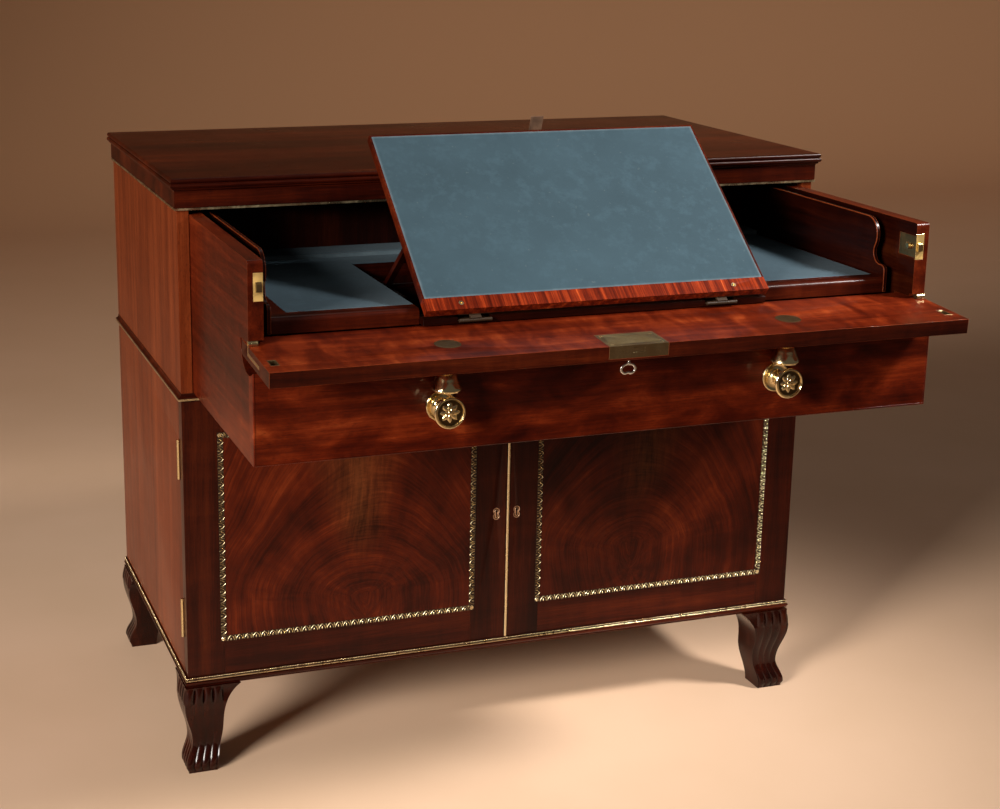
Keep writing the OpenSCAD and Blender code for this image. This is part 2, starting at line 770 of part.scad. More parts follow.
// notched rails that the foot of the strut stands on
module ratchet_rails() {
  top = slope_z - foot_r - seat;
  y0 = slope_y + 2 * strut_len * cos(slope_angle) - 60;
  notches = 8;
  pitch = 15;
  length = notches * pitch + 30;
  color(mahogany) both_sides() difference() {
    block([strut_arm_x - 8, y0, top - 14], [well_x, y0 + length, top]);
    for (i = [0:notches - 1]) translate([strut_arm_x - 9, y0 + 15 + i * pitch, top + 0.01]) rotate([90, 0, 90])
      linear_extrude(well_x - strut_arm_x + 10) polygon([[0, 0], [10, 0], [0, -6]]);
  }
}

// fixed parts of the fall's hinges and of the slope's hinges
module drawer_hinge_plates() {
  color(brass) {
    both_sides() {
      translate([box_x - 13, pin_y, pin_z]) rotate([0, 90, 0]) cylinder(r = 4.5, h = 9 - 0.15);
      translate([box_x - 13, pin_y, pin_z]) rotate([0, 90, 0]) cylinder(r = 2, h = front_x - box_x + 13 - 1);
      block([box_x - 13, pin_y, pin_z], [box_x - 4 - 0.15, pin_y + fall_plate_len, pin_z + plate_t]);
    }
    for (x = slope_hinge_places) translate([x, slope_y, slope_z]) {
      for (s = [-1, 1]) translate([s * 16 - 8 + 0.1, 0, 0]) rotate([0, 90, 0]) cylinder(r = 2.6, h = 16 - 0.2);
      translate([-24 + 0.1, 0, 0]) rotate([0, 90, 0]) cylinder(r = 1.2, h = 48 - 0.2);
      for (s = [-1, 1]) block([s * 16 - 8 + 0.1, 0, -1.2], [s * 16 + 8 - 0.1, 24, 0]);
      block([-24 + 0.1, 4.5, -1.2], [24 - 0.1, 24, 0]);
    }
  }
}

slope_hinge_places = [-190, 190];

// a front plate and an inner plate on each drawer side, with the ways for the bolt and its button
module catch_plates() {
  z0 = catch_z - catch_h / 2;
  z1 = catch_z + catch_h / 2;
  color(brass) both_sides() difference() {
    union() {
      block([box_in, box_y, z0], [box_in + catch_w, box_y + plate_t, z1]);
      block([box_in, box_y, z0 + 3], [box_in + plate_t, box_y + 42, z1 - 3]);
    }
    block([box_in + catch_in - 0.3, box_y - 1, catch_z - catch_bolt_h / 2 - seat],
          [box_in + catch_in + catch_bolt_w + seat, box_y + 3, catch_z + catch_bolt_h / 2 + seat]);
    block([box_in - 1, box_y + 15 - 4 - seat, catch_z - 4 - seat],
          [box_in + 3, box_y + 15 + catch_throw + 4 + seat, catch_z + 4 + seat]);
  }
}

// a spring bolt with its thumb button
module catch_bolt() {
  x0 = box_in + catch_in;
  color(brass) {
    difference() {
      block([x0, box_y - catch_nose, catch_z - catch_bolt_h / 2],
            [x0 + catch_bolt_w, box_y + 25, catch_z + catch_bolt_h / 2]);
      translate([x0 - 1, box_y - catch_nose - 0.01, catch_z + catch_bolt_h / 2]) rotate([0, 90, 0])
        linear_extrude(catch_bolt_w + 2) polygon([[-1, 0], [-1, -1], [3, -1], [0, 3.4]]);
    }
    translate([box_in - 5, box_y + 15, catch_z]) rotate([0, 90, 0]) cylinder(r = 4, h = 10);
  }
}

module catch_bolt_right() catch_bolt();
module catch_bolt_left() mirror([1, 0, 0]) catch_bolt();

// moves a piece of the fall from its closed place to where it lies open
module fall_place() {
  translate([0, pin_y, pin_z]) rotate([fall_open, 0, 0]) children();
}

// In the fall's own frame the pin is the origin, Z runs up the closed fall and -Y is its outer side.
fall_in_y = -pin_back;
fall_out_y = -pin_back - fall_t;
fall_foot = -fall_heel;
fall_head = fall_h - fall_heel;
fall_knob_a = 51;

module fall_board() {
  color(mahogany) fall_place() difference() {
    block([-front_x, fall_out_y, fall_foot], [front_x, fall_in_y, fall_head]);
    both_sides() translate([box_x - 14, 0, 0]) rotate([0, 90, 0]) cylinder(r = 4.9, h = 30);
    both_sides() fall_leaf(0.15);
    for (x = [-knob_x, knob_x]) translate([x, fall_out_y - 1, fall_knob_a]) rotate([-90, 0, 0]) {
      cylinder(r = 4.2, h = fall_t + 2);
      translate([0, 0, 1 + fall_t - 1.6]) cylinder(r = 18.6, h = 5);
    }
    lock_body(seat / 2);
    translate([-lock_left, fall_out_y - 1, key_a]) rotate([-90, 0, 0]) cylinder(r = 3.4, h = fall_t);
    both_sides() keep_box(0.15);
  }
}

// strip let into the end of the fall
module fall_leaf(room) {
  block([front_x - 1.5 - room, fall_out_y + 7.5 - room, -2 - room], [front_x + 1, fall_out_y + 12.5 + room, 62 + room]);
  block([front_x - 1.5 - room, fall_out_y + 7.5 - room, -2 - room], [front_x + 1, 0, 3 + room]);
}

module fall_hinges() {
  color(brass) fall_place() both_sides() difference() {
    union() {
      translate([box_x - 4, 0, 0]) rotate([0, 90, 0]) cylinder(r = 4.5, h = front_x - box_x + 4);
      intersection() {
        fall_leaf(0);
        block([0, -100, -100], [front_x, 100, 100]);
      }
    }
    translate([box_x - 20, 0, 0]) rotate([0, 90, 0]) cylinder(r = 2 + pin_clear, h = 60);
  }
}

module fall_knobs() {
  color(brass) fall_place() for (x = [-knob_x, knob_x]) translate([x, fall_out_y, fall_knob_a])
    rotate([90, 0, 0]) {
      knob();
      translate([0, 0, -fall_t]) cylinder(r = 4, h = fall_t + 2);
      translate([0, 0, -fall_t]) cylinder(r = 18.4, h = 1.5);
    }
}

// outer form of the lock: the plate on the inner face, the strip on the top edge and the box behind them
module lock_body(room) {
  x = -lock_left;
  w = lock_w / 2 + room;
  block([x - w, fall_in_y - plate_t - room, fall_head - lock_h - room], [x + w, fall_in_y + 1 * sign(room), fall_head + sign(room)]);
  block([x - w, fall_in_y - 18 - room, fall_head - plate_t - room], [x + w, fall_in_y + sign(room), fall_head + sign(room)]);
  block([x - w + 8, fall_in_y - 12 - room, fall_head - lock_h + 4 - room], [x + w - 8, fall_in_y - room, fall_head - 1]);
}

module fall_lock() {
  x = -lock_left;
  color(brass) fall_place() difference() {
    lock_body(0);
    block([x - 8 - seat, fall_in_y - 10 - seat, fall_head - 30], [x + 8 + seat, fall_in_y - 4 + seat, fall_head + 1]);
    translate([x, fall_in_y - 30, key_a]) rotate([-90, 0, 0]) cylinder(r = 3.4, h = 20);
    translate([x, fall_in_y - 11, key_a]) rotate([-90, 0, 0]) cylinder(r = 8.6, h = 8);
    for (sx = [-1, 1]) for (a = [8, lock_h - 8]) translate([x + sx * (lock_w / 2 - 7), fall_in_y - 1, fall_head - a])
      rotate([-90, 0, 0]) cylinder(r1 = 1, r2 = 3, h = 1.01, $fn = 24);
  }
}

module fall_lock_bolt() {
  x = -lock_left;
  color(brass) fall_place() block([x - 8, fall_in_y - 10, key_a + 9.5], [x + 8, fall_in_y - 4, fall_head - 0.2]);
}

// a key with a kidney-shaped bow, hanging out of the outer face
module fall_key() {
  color([0.7, 0.66, 0.55]) fall_place() translate([-lock_left, fall_out_y, key_a]) rotate([90, 0, 0]) {
    translate([0, 0, -fall_t + 5]) cylinder(r = 2.5, h = fall_t - 5 + 17);
    translate([0, 0, 4]) cylinder(r = 3.6, h = 2);
    translate([-1.2, 0, -fall_t + 5.4]) cube([2.4, 7.6, 4]);
    translate([0, 0, 22]) rotate([90, 0, 0]) difference() {
      union() {
        for (s = [-1, 1]) translate([s * 5, 1, 0]) cylinder(r = 7.5, h = 3, center = true);
        translate([0, -5, 0]) cube([6, 6, 3], center = true);
      }
      for (s = [-1, 1]) translate([s * 4, 1.5, 0]) cylinder(r = 4.4, h = 4, center = true);
    }
  }
}

// lined slots in the inner face of the fall that the catches spring into
module keep_box(room) {
  w = catch_bolt_w / 2 + 2.4 + room;
  x = box_in + catch_in + catch_bolt_w / 2;
  block([x - w, fall_in_y - 8 - room, keep_a - 12 - room], [x + w, fall_in_y + sign(room), keep_a + 12 + room]);
}

module catch_keeps() {
  w = catch_bolt_w / 2 + 1;
  x = box_in + catch_in + catch_bolt_w / 2;
  color(brass) fall_place() both_sides() difference() {
    keep_box(0);
    block([x - w, fall_in_y - 6.6, keep_a - 9], [x + w, fall_in_y + 1, keep_a + 9]);
  }
}

// moves a piece of the slope from flat to where it stands; its own frame has the hinge line as its origin
module slope_place() {
  translate([0, slope_y, slope_z]) rotate([slope_angle, 0, 0]) children();
}

slope_front_band = 22;
slope_edge = 3;

module slope_board() {
  color(mahogany) slope_place() difference() {
    block([-slope_half, slope_foot, hinge_drop], [slope_half, slope_head, hinge_drop + slope_t]);
    block([-slope_half + slope_edge, slope_foot + slope_front_band, hinge_drop + slope_t - lining_t],
          [slope_half - slope_edge, slope_head - slope_edge, hinge_drop + slope_t + 1]);
    for (x = [-slope_socket_x, slope_socket_x])
      translate([x, slope_foot + slope_front_band / 2, hinge_drop + slope_t - 7]) cylinder(r = 3.6, h = 8);
    block([-tab_w / 2 - 0.2, slope_head - 14, hinge_drop - 1], [tab_w / 2 + 0.2, slope_head + 1, hinge_drop + 1.6]);
  }
}

slope_socket_x = 210;
slope_head = slope_foot + slope_len;
tab_w = 20;

module slope_lining() {
  c = 0.1;
  color(cloth) slope_place()
    block([-slope_half + slope_edge + c, slope_foot + slope_front_band + c, hinge_drop + slope_t - lining_t],
          [slope_half - slope_edge - c, slope_head - slope_edge - c, hinge_drop + slope_t]);
}

// brass bushes for the pegs of a book stop
module slope_sockets() {
  color(brass) slope_place() for (x = [-slope_socket_x, slope_socket_x])
    translate([x, slope_foot + slope_front_band / 2, hinge_drop + slope_t - 6.9]) difference() {
      cylinder(r = 3.5, h = 6.9);
      translate([0, 0, 2]) cylinder(r = 2, h = 6);
    }
}

// A leather tab to lift the slope by. It is let in under the slope, turns up round its end and leans back,
// never farther from the hinge than the brass line under the frieze.
module slope_tab() {
  t = 1.5;
  top = hinge_drop + slope_t;
  rise = 20.7;
  reach = sqrt(pow(frieze_out + brass_out + slope_y, 2) + pow(frieze_z - slope_z, 2)) - 0.8;
  tip = min(slope_head + 8.6, sqrt(pow(reach, 2) - pow(top + rise, 2)));
  color(hide) slope_place() translate([-tab_w / 2, 0, 0]) rotate([90, 0, 90]) linear_extrude(tab_w) polygon([
    [slope_head - 13.8, hinge_drop], [slope_head + 0.3 + t, hinge_drop], [slope_head + 0.3 + t, top],
    [tip, top + rise], [tip - t, top + rise + 0.5], [slope_head + 0.3, top + 0.5],
    [slope_head + 0.3, hinge_drop + t], [slope_head - 13.8, hinge_drop + t]]);
}

// moving leaves of the slope's hinges and the lugs that the strut hangs on
module slope_hinges() {
  color(brass) slope_place() {
    for (x = slope_hinge_places) translate([x, 0, 0]) difference() {
      union() {
        translate([-8 + 0.1, 0, 0]) rotate([0, 90, 0]) cylinder(r = 2.6, h = 16 - 0.2);
        block([-8 + 0.1, 0, 1.3], [8 - 0.1, slope_foot + 1, hinge_drop]);
        block([-24, slope_foot, hinge_drop - 1.2], [24, slope_foot + 18, hinge_drop]);
      }
      translate([-30, 0, 0]) rotate([0, 90, 0]) cylinder(r = 1.2 + pin_clear, h = 60);
    }
    both_sides() {
      block([strut_arm_x + strut_arm_w + 0.5, strut_len - 7, -4], [strut_arm_x + strut_arm_w + 5, strut_len + 7, hinge_drop]);
      translate([strut_arm_x + 2, strut_len, 0]) rotate([0, 90, 0]) cylinder(r = 2, h = strut_arm_w);
    }
  }
}

// a frame of two arms and a round foot: it stands down from the slope to the rails
module slope_strut() {
  color(mahogany) slope_place() translate([0, strut_len, 0]) rotate([-2 * slope_angle, 0, 0]) difference() {
    union() {
      both_sides() {
        translate([strut_arm_x, 0, 0]) rotate([0, 90, 0]) cylinder(r = strut_half_t, h = strut_arm_w);
        block([strut_arm_x, 0, -strut_half_t], [strut_arm_x + strut_arm_w, strut_len, strut_half_t]);
      }
      translate([-strut_arm_x - strut_arm_w, strut_len, 0]) rotate([0, 90, 0])
        cylinder(r = foot_r, h = 2 * (strut_arm_x + strut_arm_w));
      block([-strut_arm_x - 1, 60, -2.5], [strut_arm_x + 1, 74, 2.5]);
    }
    both_sides() translate([strut_arm_x - 1, 0, 0]) rotate([0, 90, 0]) cylinder(r = 2 + pin_clear, h = strut_arm_w + 2);
  }
}

// sets the middle of the whole object's depth on the origin
module stand() {
  translate([0, -centre_y, 0]) children();
}

stand() case_side_left();
stand() case_side_right();
stand() case_back();
stand() case_floor();
stand() dust_board();
stand() shelf();
stand() drawer_guides();
stand() top_board();
stand() frieze();
stand() band_moulding();
stand() base_moulding();
stand() brass_lines();
stand() base_reeds();
stand() foot_front_left();
stand() foot_front_right();
stand() foot_back_left();
stand() foot_back_right();
stand() lock_keep();
stand() case_hinges();
stand() door_left_frame();
stand() door_left_panel();
stand() door_left_border();
stand() door_left_escutcheon();
stand() door_left_hinges();
stand() door_right_frame();
stand() door_right_panel();
stand() door_right_border();
stand() door_right_escutcheon();
stand() door_right_hinges();
stand() door_lock_bolt();
stand() meeting_strip();
stand() drawer_side_left();
stand() drawer_side_right();
stand() drawer_back();
stand() drawer_bottom();
stand() drawer_front();
stand() drawer_knobs();
stand() writing_board();
stand() writing_lining();
stand() tray_rail();
stand() tray_cheeks();
stand() well_walls();
stand() ratchet_rails();
stand() drawer_hinge_plates();
stand() catch_plates();
stand() catch_bolt_left();
stand() catch_bolt_right();
stand() fall_board();
stand() fall_knobs();
stand() fall_lock();
stand() fall_lock_bolt();
stand() fall_key();
stand() catch_keeps();
stand() fall_hinges();
stand() slope_board();
stand() slope_lining();
stand() slope_sockets();
stand() slope_tab();
stand() slope_hinges();
stand() slope_strut();
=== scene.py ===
import json
import math

import bmesh
import bpy
from mathutils import Matrix, Vector

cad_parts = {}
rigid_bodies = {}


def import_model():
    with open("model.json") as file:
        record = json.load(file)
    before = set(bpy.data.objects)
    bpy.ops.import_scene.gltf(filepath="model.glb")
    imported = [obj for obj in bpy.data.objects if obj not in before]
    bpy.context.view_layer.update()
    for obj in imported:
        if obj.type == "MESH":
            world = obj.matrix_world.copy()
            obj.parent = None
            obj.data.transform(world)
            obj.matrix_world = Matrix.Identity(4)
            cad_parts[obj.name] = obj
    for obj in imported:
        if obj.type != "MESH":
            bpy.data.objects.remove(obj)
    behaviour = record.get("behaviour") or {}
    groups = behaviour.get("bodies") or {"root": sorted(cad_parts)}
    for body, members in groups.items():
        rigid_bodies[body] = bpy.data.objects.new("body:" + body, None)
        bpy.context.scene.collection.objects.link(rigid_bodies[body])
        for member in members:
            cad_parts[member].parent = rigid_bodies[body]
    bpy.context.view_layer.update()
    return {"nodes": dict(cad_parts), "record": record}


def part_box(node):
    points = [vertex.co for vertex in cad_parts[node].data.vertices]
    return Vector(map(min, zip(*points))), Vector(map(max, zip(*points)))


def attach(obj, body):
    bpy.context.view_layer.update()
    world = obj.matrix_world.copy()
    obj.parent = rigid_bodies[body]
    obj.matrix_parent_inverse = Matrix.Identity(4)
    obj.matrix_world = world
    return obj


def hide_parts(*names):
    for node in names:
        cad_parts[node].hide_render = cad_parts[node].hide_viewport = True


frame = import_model()

# Places and sizes, in metres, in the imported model's own frame.
JOINTS = {j["name"]: j for j in frame["record"]["behaviour"]["joints"]}
HALF_W = 0.535                                   # half the width of the case
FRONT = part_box("dust_board")[0][1]               # the case's front plane
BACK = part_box("case_side_left")[1][1]
FOOT_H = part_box("base_moulding")[0][2]
FALL_PIN = Vector(JOINTS["fall_hinge"]["pos_m"])
FALL_OPEN = math.radians(-JOINTS["fall_hinge"]["range_deg"][0])
FALL = Matrix.Translation(FALL_PIN) @ Matrix.Rotation(FALL_OPEN, 4, "X")
SLOPE_PIN = Vector(JOINTS["slope_hinge"]["pos_m"])
SLOPE_ANGLE = math.radians(-JOINTS["slope_hinge"]["range_deg"][0])
SLOPE = Matrix.Translation(SLOPE_PIN) @ Matrix.Rotation(SLOPE_ANGLE, 4, "X")
KNOB_X = 0.257                                   # the knobs' distance from the middle
KNOB_R = 0.0222
KNOB_OUT = 0.0425                                # how far a knob stands out of its board
FALL_T = 0.0212                                  # the fall's thickness
FALL_IN = -0.0028                                # the fall's inner face, in its own frame
FALL_OUT = FALL_IN - FALL_T
PANEL_X, PANEL_Z = 0.268, 0.391                  # the middle of a door's panel
STILE_W = 0.0601                                 # the width of a door's stiles
LEDGE_Y = 0.058                                  # depth of the raised ledge along the writing board's back
BAND_X, BAND_Y = 0.027, 0.009                    # the writing board's crossbands, at its left and its front
RIGHT_BAND_X = 0.005                             # and at its right
SLOPE_HALF = 0.2647                              # half the width of the slope, which shades the tray's rail
SLOPE_BAND = 0.0293                              # width of the crossband at the slope's lower edge
SLOPE_CLOTH_X, SLOPE_CLOTH_TOP = 0.2604, 0.3382  # half width and top edge of the slope's cloth
SAME = 1e-6                                      # points nearer than this are one point
RIGHT_ANGLE = math.radians(90)


# Materials.
class Nodes:
    """A short way to write a material's node tree."""

    def __init__(self, name):
        self.material = bpy.data.materials.new(name)
        self.material.use_nodes = True
        self.tree = self.material.node_tree
        self.tree.nodes.clear()

    def add(self, kind, settings=(), **sockets):
        node = self.tree.nodes.new("ShaderNode" + kind)
        for key, value in dict(settings).items():
            setattr(node, key, value)
        for key, value in sockets.items():
            socket = node.inputs[int(key[1:])] if key[0] == "_" else node.inputs[key.replace("_", " ")]
            self.put(socket, value)
        return node

    def put(self, socket, value):
        if isinstance(value, bpy.types.NodeSocket):
            self.tree.links.new(value, socket)
        else:
            socket.default_value = value

    def math(self, operation, a, b=0.0, clamp=False):
        return self.add("Math", {"operation": operation, "use_clamp": clamp}, _0=a, _1=b).outputs[0]

    def times(self, a, b, clamp=False):
        return self.math("MULTIPLY", a, b, clamp)

    def plus(self, first, *others):
        for other in others:
            first = self.math("ADD", first, other)
        return first

    def minus(self, a, b, clamp=False):
        return self.math("SUBTRACT", a, b, clamp)

    def mix(self, factor, a, b):
        node = self.add("Mix", {"data_type": "RGBA"})
        self.put(node.inputs[0], factor)
        self.put(node.inputs[6], a)
        self.put(node.inputs[7], b)
        return node.outputs[2]

    def ramp(self, value, stops, smooth=False):
        node = self.add("ValToRGB", Fac=value)
        if smooth:
            node.color_ramp.interpolation = "EASE"
        elements = node.color_ramp.elements
        while len(elements) < len(stops):
            elements.new(0.5)
        for element, (place, color) in zip(elements, stops):
            element.position = place
            element.color = (*color, 1)
        return node.outputs[0]

    def noise(self, vector, scale=1.0, detail=3.0, roughness=0.5, distortion=0.0):
        return self.add("TexNoise", Vector=vector, Scale=scale, Detail=detail, Roughness=roughness,
                        Distortion=distortion).outputs[0]

    def place(self, vector, location=(0, 0, 0), rotation=(0, 0, 0), scale=(1, 1, 1)):
        node = self.add("Mapping", Vector=vector, Location=location, Rotation=rotation, Scale=scale)
        return node.outputs[0]

    def wander(self, vector, source, reach, scale, detail=2.0):
        """Moves a place by a noise read at source, so that straight grain wanders."""
        noise = self.add("TexNoise", Vector=source, Scale=scale, Detail=detail)
        return self.add("VectorMath", {"operation": "MULTIPLY_ADD"}, _0=noise.outputs["Color"], _1=reach,
                        _2=vector).outputs[0]

    def object_place(self, turn=0.0):
        """Places in the object's own frame, turned back about X where the board leans."""
        spot = self.add("TexCoord").outputs["Object"]
        return self.place(spot, rotation=(-turn, 0, 0)) if turn else spot

    def bump(self, height, strength, distance):
        return self.add("Bump", Height=height, Strength=strength, Distance=distance).outputs[0]

    def finish(self, **sockets):
        shader = self.add("BsdfPrincipled")
        for key, value in sockets.items():
            self.put(shader.inputs[key.replace("_", " ")], value)
        out = self.add("OutputMaterial")
        self.put(out.inputs[0], shader.outputs[0])
        return self.material


def grey(value):
    return (value, value, value)


def scaled(color, factor):
    return tuple(c * factor for c in color)


# Turns that lay the grain, which runs along X in the texture, along another axis of the object.
GRAIN = {"X": (0, 0, 0), "Y": (0, 0, -RIGHT_ANGLE), "Z": (0, RIGHT_ANGLE, 0)}

MAHOGANY = [(0.0, (0.010, 0.0010, 0.0004)), (0.3, (0.034, 0.0034, 0.0009)),
            (0.55, (0.070, 0.0072, 0.0016)), (0.78, (0.125, 0.0160, 0.0034)), (1.0, (0.21, 0.035, 0.0075))]
RIBBON = [(0.0, (0.020, 0.0016, 0.0005)), (0.32, (0.054, 0.0046, 0.0010)),
          (0.56, (0.105, 0.0102, 0.0020)), (0.78, (0.19, 0.0230, 0.0045)), (1.0, (0.34, 0.060, 0.013))]
# A paler, less red ramp, for the case's sides, and for the arrises, where it is a painted highlight.
PALE_MAHOGANY = [(0.0, (0.048, 0.0072, 0.0018)), (0.35, (0.100, 0.0160, 0.0038)), (0.65, (0.160, 0.029, 0.0072)),
         (1.0, (0.26, 0.061, 0.017))]
OAK = [(0.0, (0.07, 0.032, 0.014)), (0.4, (0.13, 0.065, 0.030)), (0.7, (0.19, 0.105, 0.050)),
       (1.0, (0.27, 0.16, 0.082))]
PORE = (0.012, 0.003, 0.002)


def shaded(stops, shade):
    return [(place, scaled(color, shade)) for place, color in stops]


def varnished(n, spot, color, fibres, pores, polish, least, vary):
    """Finishes a wood: fibres and pores in low relief, under a varnish that is smeared in places."""
    smear = n.noise(n.place(spot, scale=(9, 9, 9)), detail=5, roughness=0.65)
    relief = n.minus(n.times(fibres, 0.35), pores)
    return n.finish(Base_Color=color, Roughness=n.plus(n.times(smear, vary), least),
                    Normal=n.bump(relief, 0.2, 0.00012), Coat_Weight=polish, Coat_Roughness=0.12,
                    Coat_IOR=1.4, Specular_IOR_Level=0.1)


def wood(name, grain="X", turn=0.0, seed=0.0, shade=1.0, figure=0.35, polish=0.14, rough=0.34,
         colors=MAHOGANY, contrast=1.9, stripe=30.0, mottle=(26, 5, 5), coarse=1.0):
    """Polished wood: long streaks, fine fibres, dark pores, and a soft figure across the grain."""
    n = Nodes(name)
    spot = n.object_place(turn)
    spot = n.place(spot, location=(seed * 1.7, seed * 0.9, seed * 2.3), rotation=GRAIN[grain])
    bent = n.wander(spot, n.place(spot, scale=(2.0, 5.0, 5.0)), (0.02, 0.018, 0.018), 1.0)
    streaks = n.noise(n.place(bent, scale=(1.6, stripe, stripe)), detail=7, roughness=0.66)
    bands = n.noise(n.place(bent, scale=(0.9, 7, 7)), detail=2)
    fibres = n.noise(n.place(bent, scale=(16, 520, 520)), detail=2)
    ribbons = n.noise(n.place(bent, scale=mottle), detail=4, roughness=0.6, distortion=0.5)
    parts = (streaks, bands, fibres, ribbons)
    weights = (0.8, 0.5 * coarse, 0.25, figure)
    tone = n.plus(*(n.times(part, weight) for part, weight in zip(parts, weights)))
    tone = n.math("ADD", n.times(n.minus(tone, 0.5 * sum(weights)), contrast), 0.5, clamp=True)
    color = n.ramp(tone, shaded(colors, shade))
    pores = n.noise(n.place(bent, scale=(120, 1900, 1900)), detail=1)
    pores = n.ramp(pores, [(0.60, grey(0)), (0.72, grey(1))])
    color = n.mix(n.times(pores, 0.55), color, (*scaled(PORE, shade), 1))
    return varnished(n, spot, color, fibres, pores, polish, rough - 0.09, 0.18)


def flame(name, middle, centre, plume, seed=0.0, shade=1.0):
    """A door panel's figure: fans of grain that spring from a point below and curl out to both sides."""
    n = Nodes(name)
    spot = n.place(n.object_place(), location=tuple(-place for place in middle))
    moved = n.wander(spot, n.place(spot, location=(seed, seed, seed)), (0.050, 0, 0.045), 4.0)
    moved = n.wander(moved, spot, (0.006, 0, 0.005), 30.0, 3.0)
    parts = n.add("SeparateXYZ", Vector=moved)
    x = n.minus(parts.outputs[0], 0.028 + centre[0])
    z = n.minus(parts.outputs[2], 0.025 + centre[1])
    above, below = n.math("MAXIMUM", z, 0.0), n.math("MINIMUM", z, 0.0)
    # Arches are low near the middle and tall farther out, and run nearly straight down below it.
    up = n.math("DIVIDE", n.times(above, 1.79), n.plus(n.times(above, 4.57), 1.0))
    up = n.plus(up, n.times(below, 0.45))
    out = n.math("SQRT", n.plus(n.times(x, x), n.times(up, up)))
    along = n.math("ARCTAN2", x, n.plus(up, 0.02))
    fan = n.add("CombineXYZ", X=n.times(along, 0.16), Y=out, Z=seed).outputs[0]
    arches = n.noise(n.place(fan, scale=(3.0, 95, 1)), detail=8, roughness=0.74, distortion=0.15)
    wide = n.noise(n.place(fan, scale=(2.6, 20, 1)), detail=3)
    fibres = n.noise(n.place(fan, scale=(22, 420, 1)), detail=2)
    rays = n.noise(n.place(fan, scale=(30, 5, 1)), detail=4, roughness=0.6)
    clouds = n.noise(n.place(spot, location=(seed, 0, 0), scale=(6, 6, 6)), detail=4, roughness=0.62)
    # A plume of plainer, browner wood rises from the middle and widens.
    width = n.plus(n.times(above, 0.32), 0.016)
    lean = n.minus(x, n.times(z, plume))
    plain = n.minus(1.0, n.math("DIVIDE", n.math("ABSOLUTE", lean), width), clamp=True)
    plain = n.times(plain, n.times(n.minus(z, 0.055), 14.0, clamp=True))
    streaks = n.noise(n.place(moved, scale=(150, 150, 14)), detail=5, roughness=0.7)
    figure = n.plus(n.times(arches, 0.62), n.times(wide, 0.50))
    tone = n.plus(n.times(figure, n.minus(1.0, n.times(plain, 0.75))), n.times(n.times(streaks, plain), 0.98),
                  n.times(fibres, 0.26), n.times(clouds, 0.75), n.times(rays, 0.30))
    tone = n.math("ADD", n.times(n.minus(tone, 1.215), 1.75), 0.46, clamp=True)
    color = n.ramp(tone, shaded(MAHOGANY, shade))
    olive = n.ramp(tone, shaded([(0.2, (0.018, 0.0042, 0.0012)), (0.8, (0.105, 0.030, 0.0085))], shade))
    color = n.mix(n.times(plain, 0.8), color, olive)
    pores = n.noise(n.place(fan, scale=(150, 1500, 1)), detail=1)
    pores = n.ramp(pores, [(0.60, grey(0)), (0.74, grey(1))])
    color = n.mix(n.times(pores, 0.5), color, (*PORE, 1))
    return varnished(n, spot, color, fibres, pores, 0.14, 0.25, 0.16)


def brass_material(name, color=(0.80, 0.63, 0.34), rough=0.19, tarnish=0.4):
    """Metal with dull stains on it; the steel of the key uses it too."""
    n = Nodes(name)
    spot = n.object_place()
    stains = n.noise(spot, scale=38, detail=5, roughness=0.68)
    fine = n.noise(spot, scale=900, detail=2)
    dull = n.ramp(stains, [(0.42, grey(0)), (0.72, grey(1))], smooth=True)
    stained = tuple(c * k for c, k in zip(color, (0.42, 0.36, 0.30)))
    base = n.mix(n.times(dull, tarnish), (*color, 1), (*stained, 1))
    roughness = n.plus(n.times(dull, 0.22), n.plus(n.times(fine, 0.07), rough - 0.035))
    return n.finish(Base_Color=base, Metallic=1.0, Roughness=roughness, Normal=n.bump(fine, 0.06, 0.0001))


def lining_material(name, turn=0.0, color=(0.038, 0.066, 0.086), edges=()):
    """Blue cloth, close and matt, a little rubbed and spotted, with pale worn lines along its edges."""
    n = Nodes(name)
    spot = n.object_place(turn)
    threads = [n.add("TexWave", {"bands_direction": axis}, Vector=spot, Scale=620.0, Distortion=1.2)
               for axis in ("X", "Y")]
    nap = n.noise(spot, scale=700, detail=3, roughness=0.7)
    fade = n.noise(spot, scale=6, detail=6, roughness=0.62)
    rub = n.noise(spot, scale=45, detail=5, roughness=0.7)
    specks = n.ramp(n.noise(spot, scale=150, detail=2), [(0.71, grey(0)), (0.79, grey(1))])
    base = n.ramp(fade, [(0.28, scaled(color, 0.80)), (0.52, color), (0.78, scaled(color, 1.22))])
    base = n.mix(n.times(nap, 0.30), base, (*scaled(color, 1.5), 1))
    rubbed = n.ramp(rub, [(0.5, grey(0)), (0.8, grey(1))])
    base = n.mix(n.times(rubbed, 0.42), base, (*scaled(color, 1.9), 1))
    base = n.mix(n.times(specks, 0.30), base, (0.16, 0.18, 0.17, 1))
    parts = n.add("SeparateXYZ", Vector=spot)
    for axis, place in edges:
        off = n.math("ABSOLUTE", n.minus(parts.outputs[axis], place))
        line = n.ramp(off, [(0.0004, grey(1)), (0.0016, grey(0))])
        base = n.mix(n.times(n.times(line, rub), 0.55), base, (0.22, 0.27, 0.29, 1))
    weave = n.plus(*(thread.outputs["Fac"] for thread in threads))
    height = n.plus(n.times(weave, 0.25), nap)
    return n.finish(Base_Color=base, Roughness=0.9, Normal=n.bump(height, 0.4, 0.0002), Sheen_Weight=0.03,
                    Sheen_Roughness=0.5, Specular_IOR_Level=0.15)


def leather_material(name):
    n = Nodes(name)
    spot = n.object_place()
    grain = n.add("TexVoronoi", Vector=spot, Scale=900.0).outputs["Distance"]
    worn = n.noise(spot, scale=60, detail=4)
    base = n.ramp(worn, [(0.3, (0.055, 0.028, 0.016)), (0.7, (0.16, 0.085, 0.05))])
    return n.finish(Base_Color=base, Roughness=0.6, Normal=n.bump(grain, 0.35, 0.0002),
                    Specular_IOR_Level=0.35)


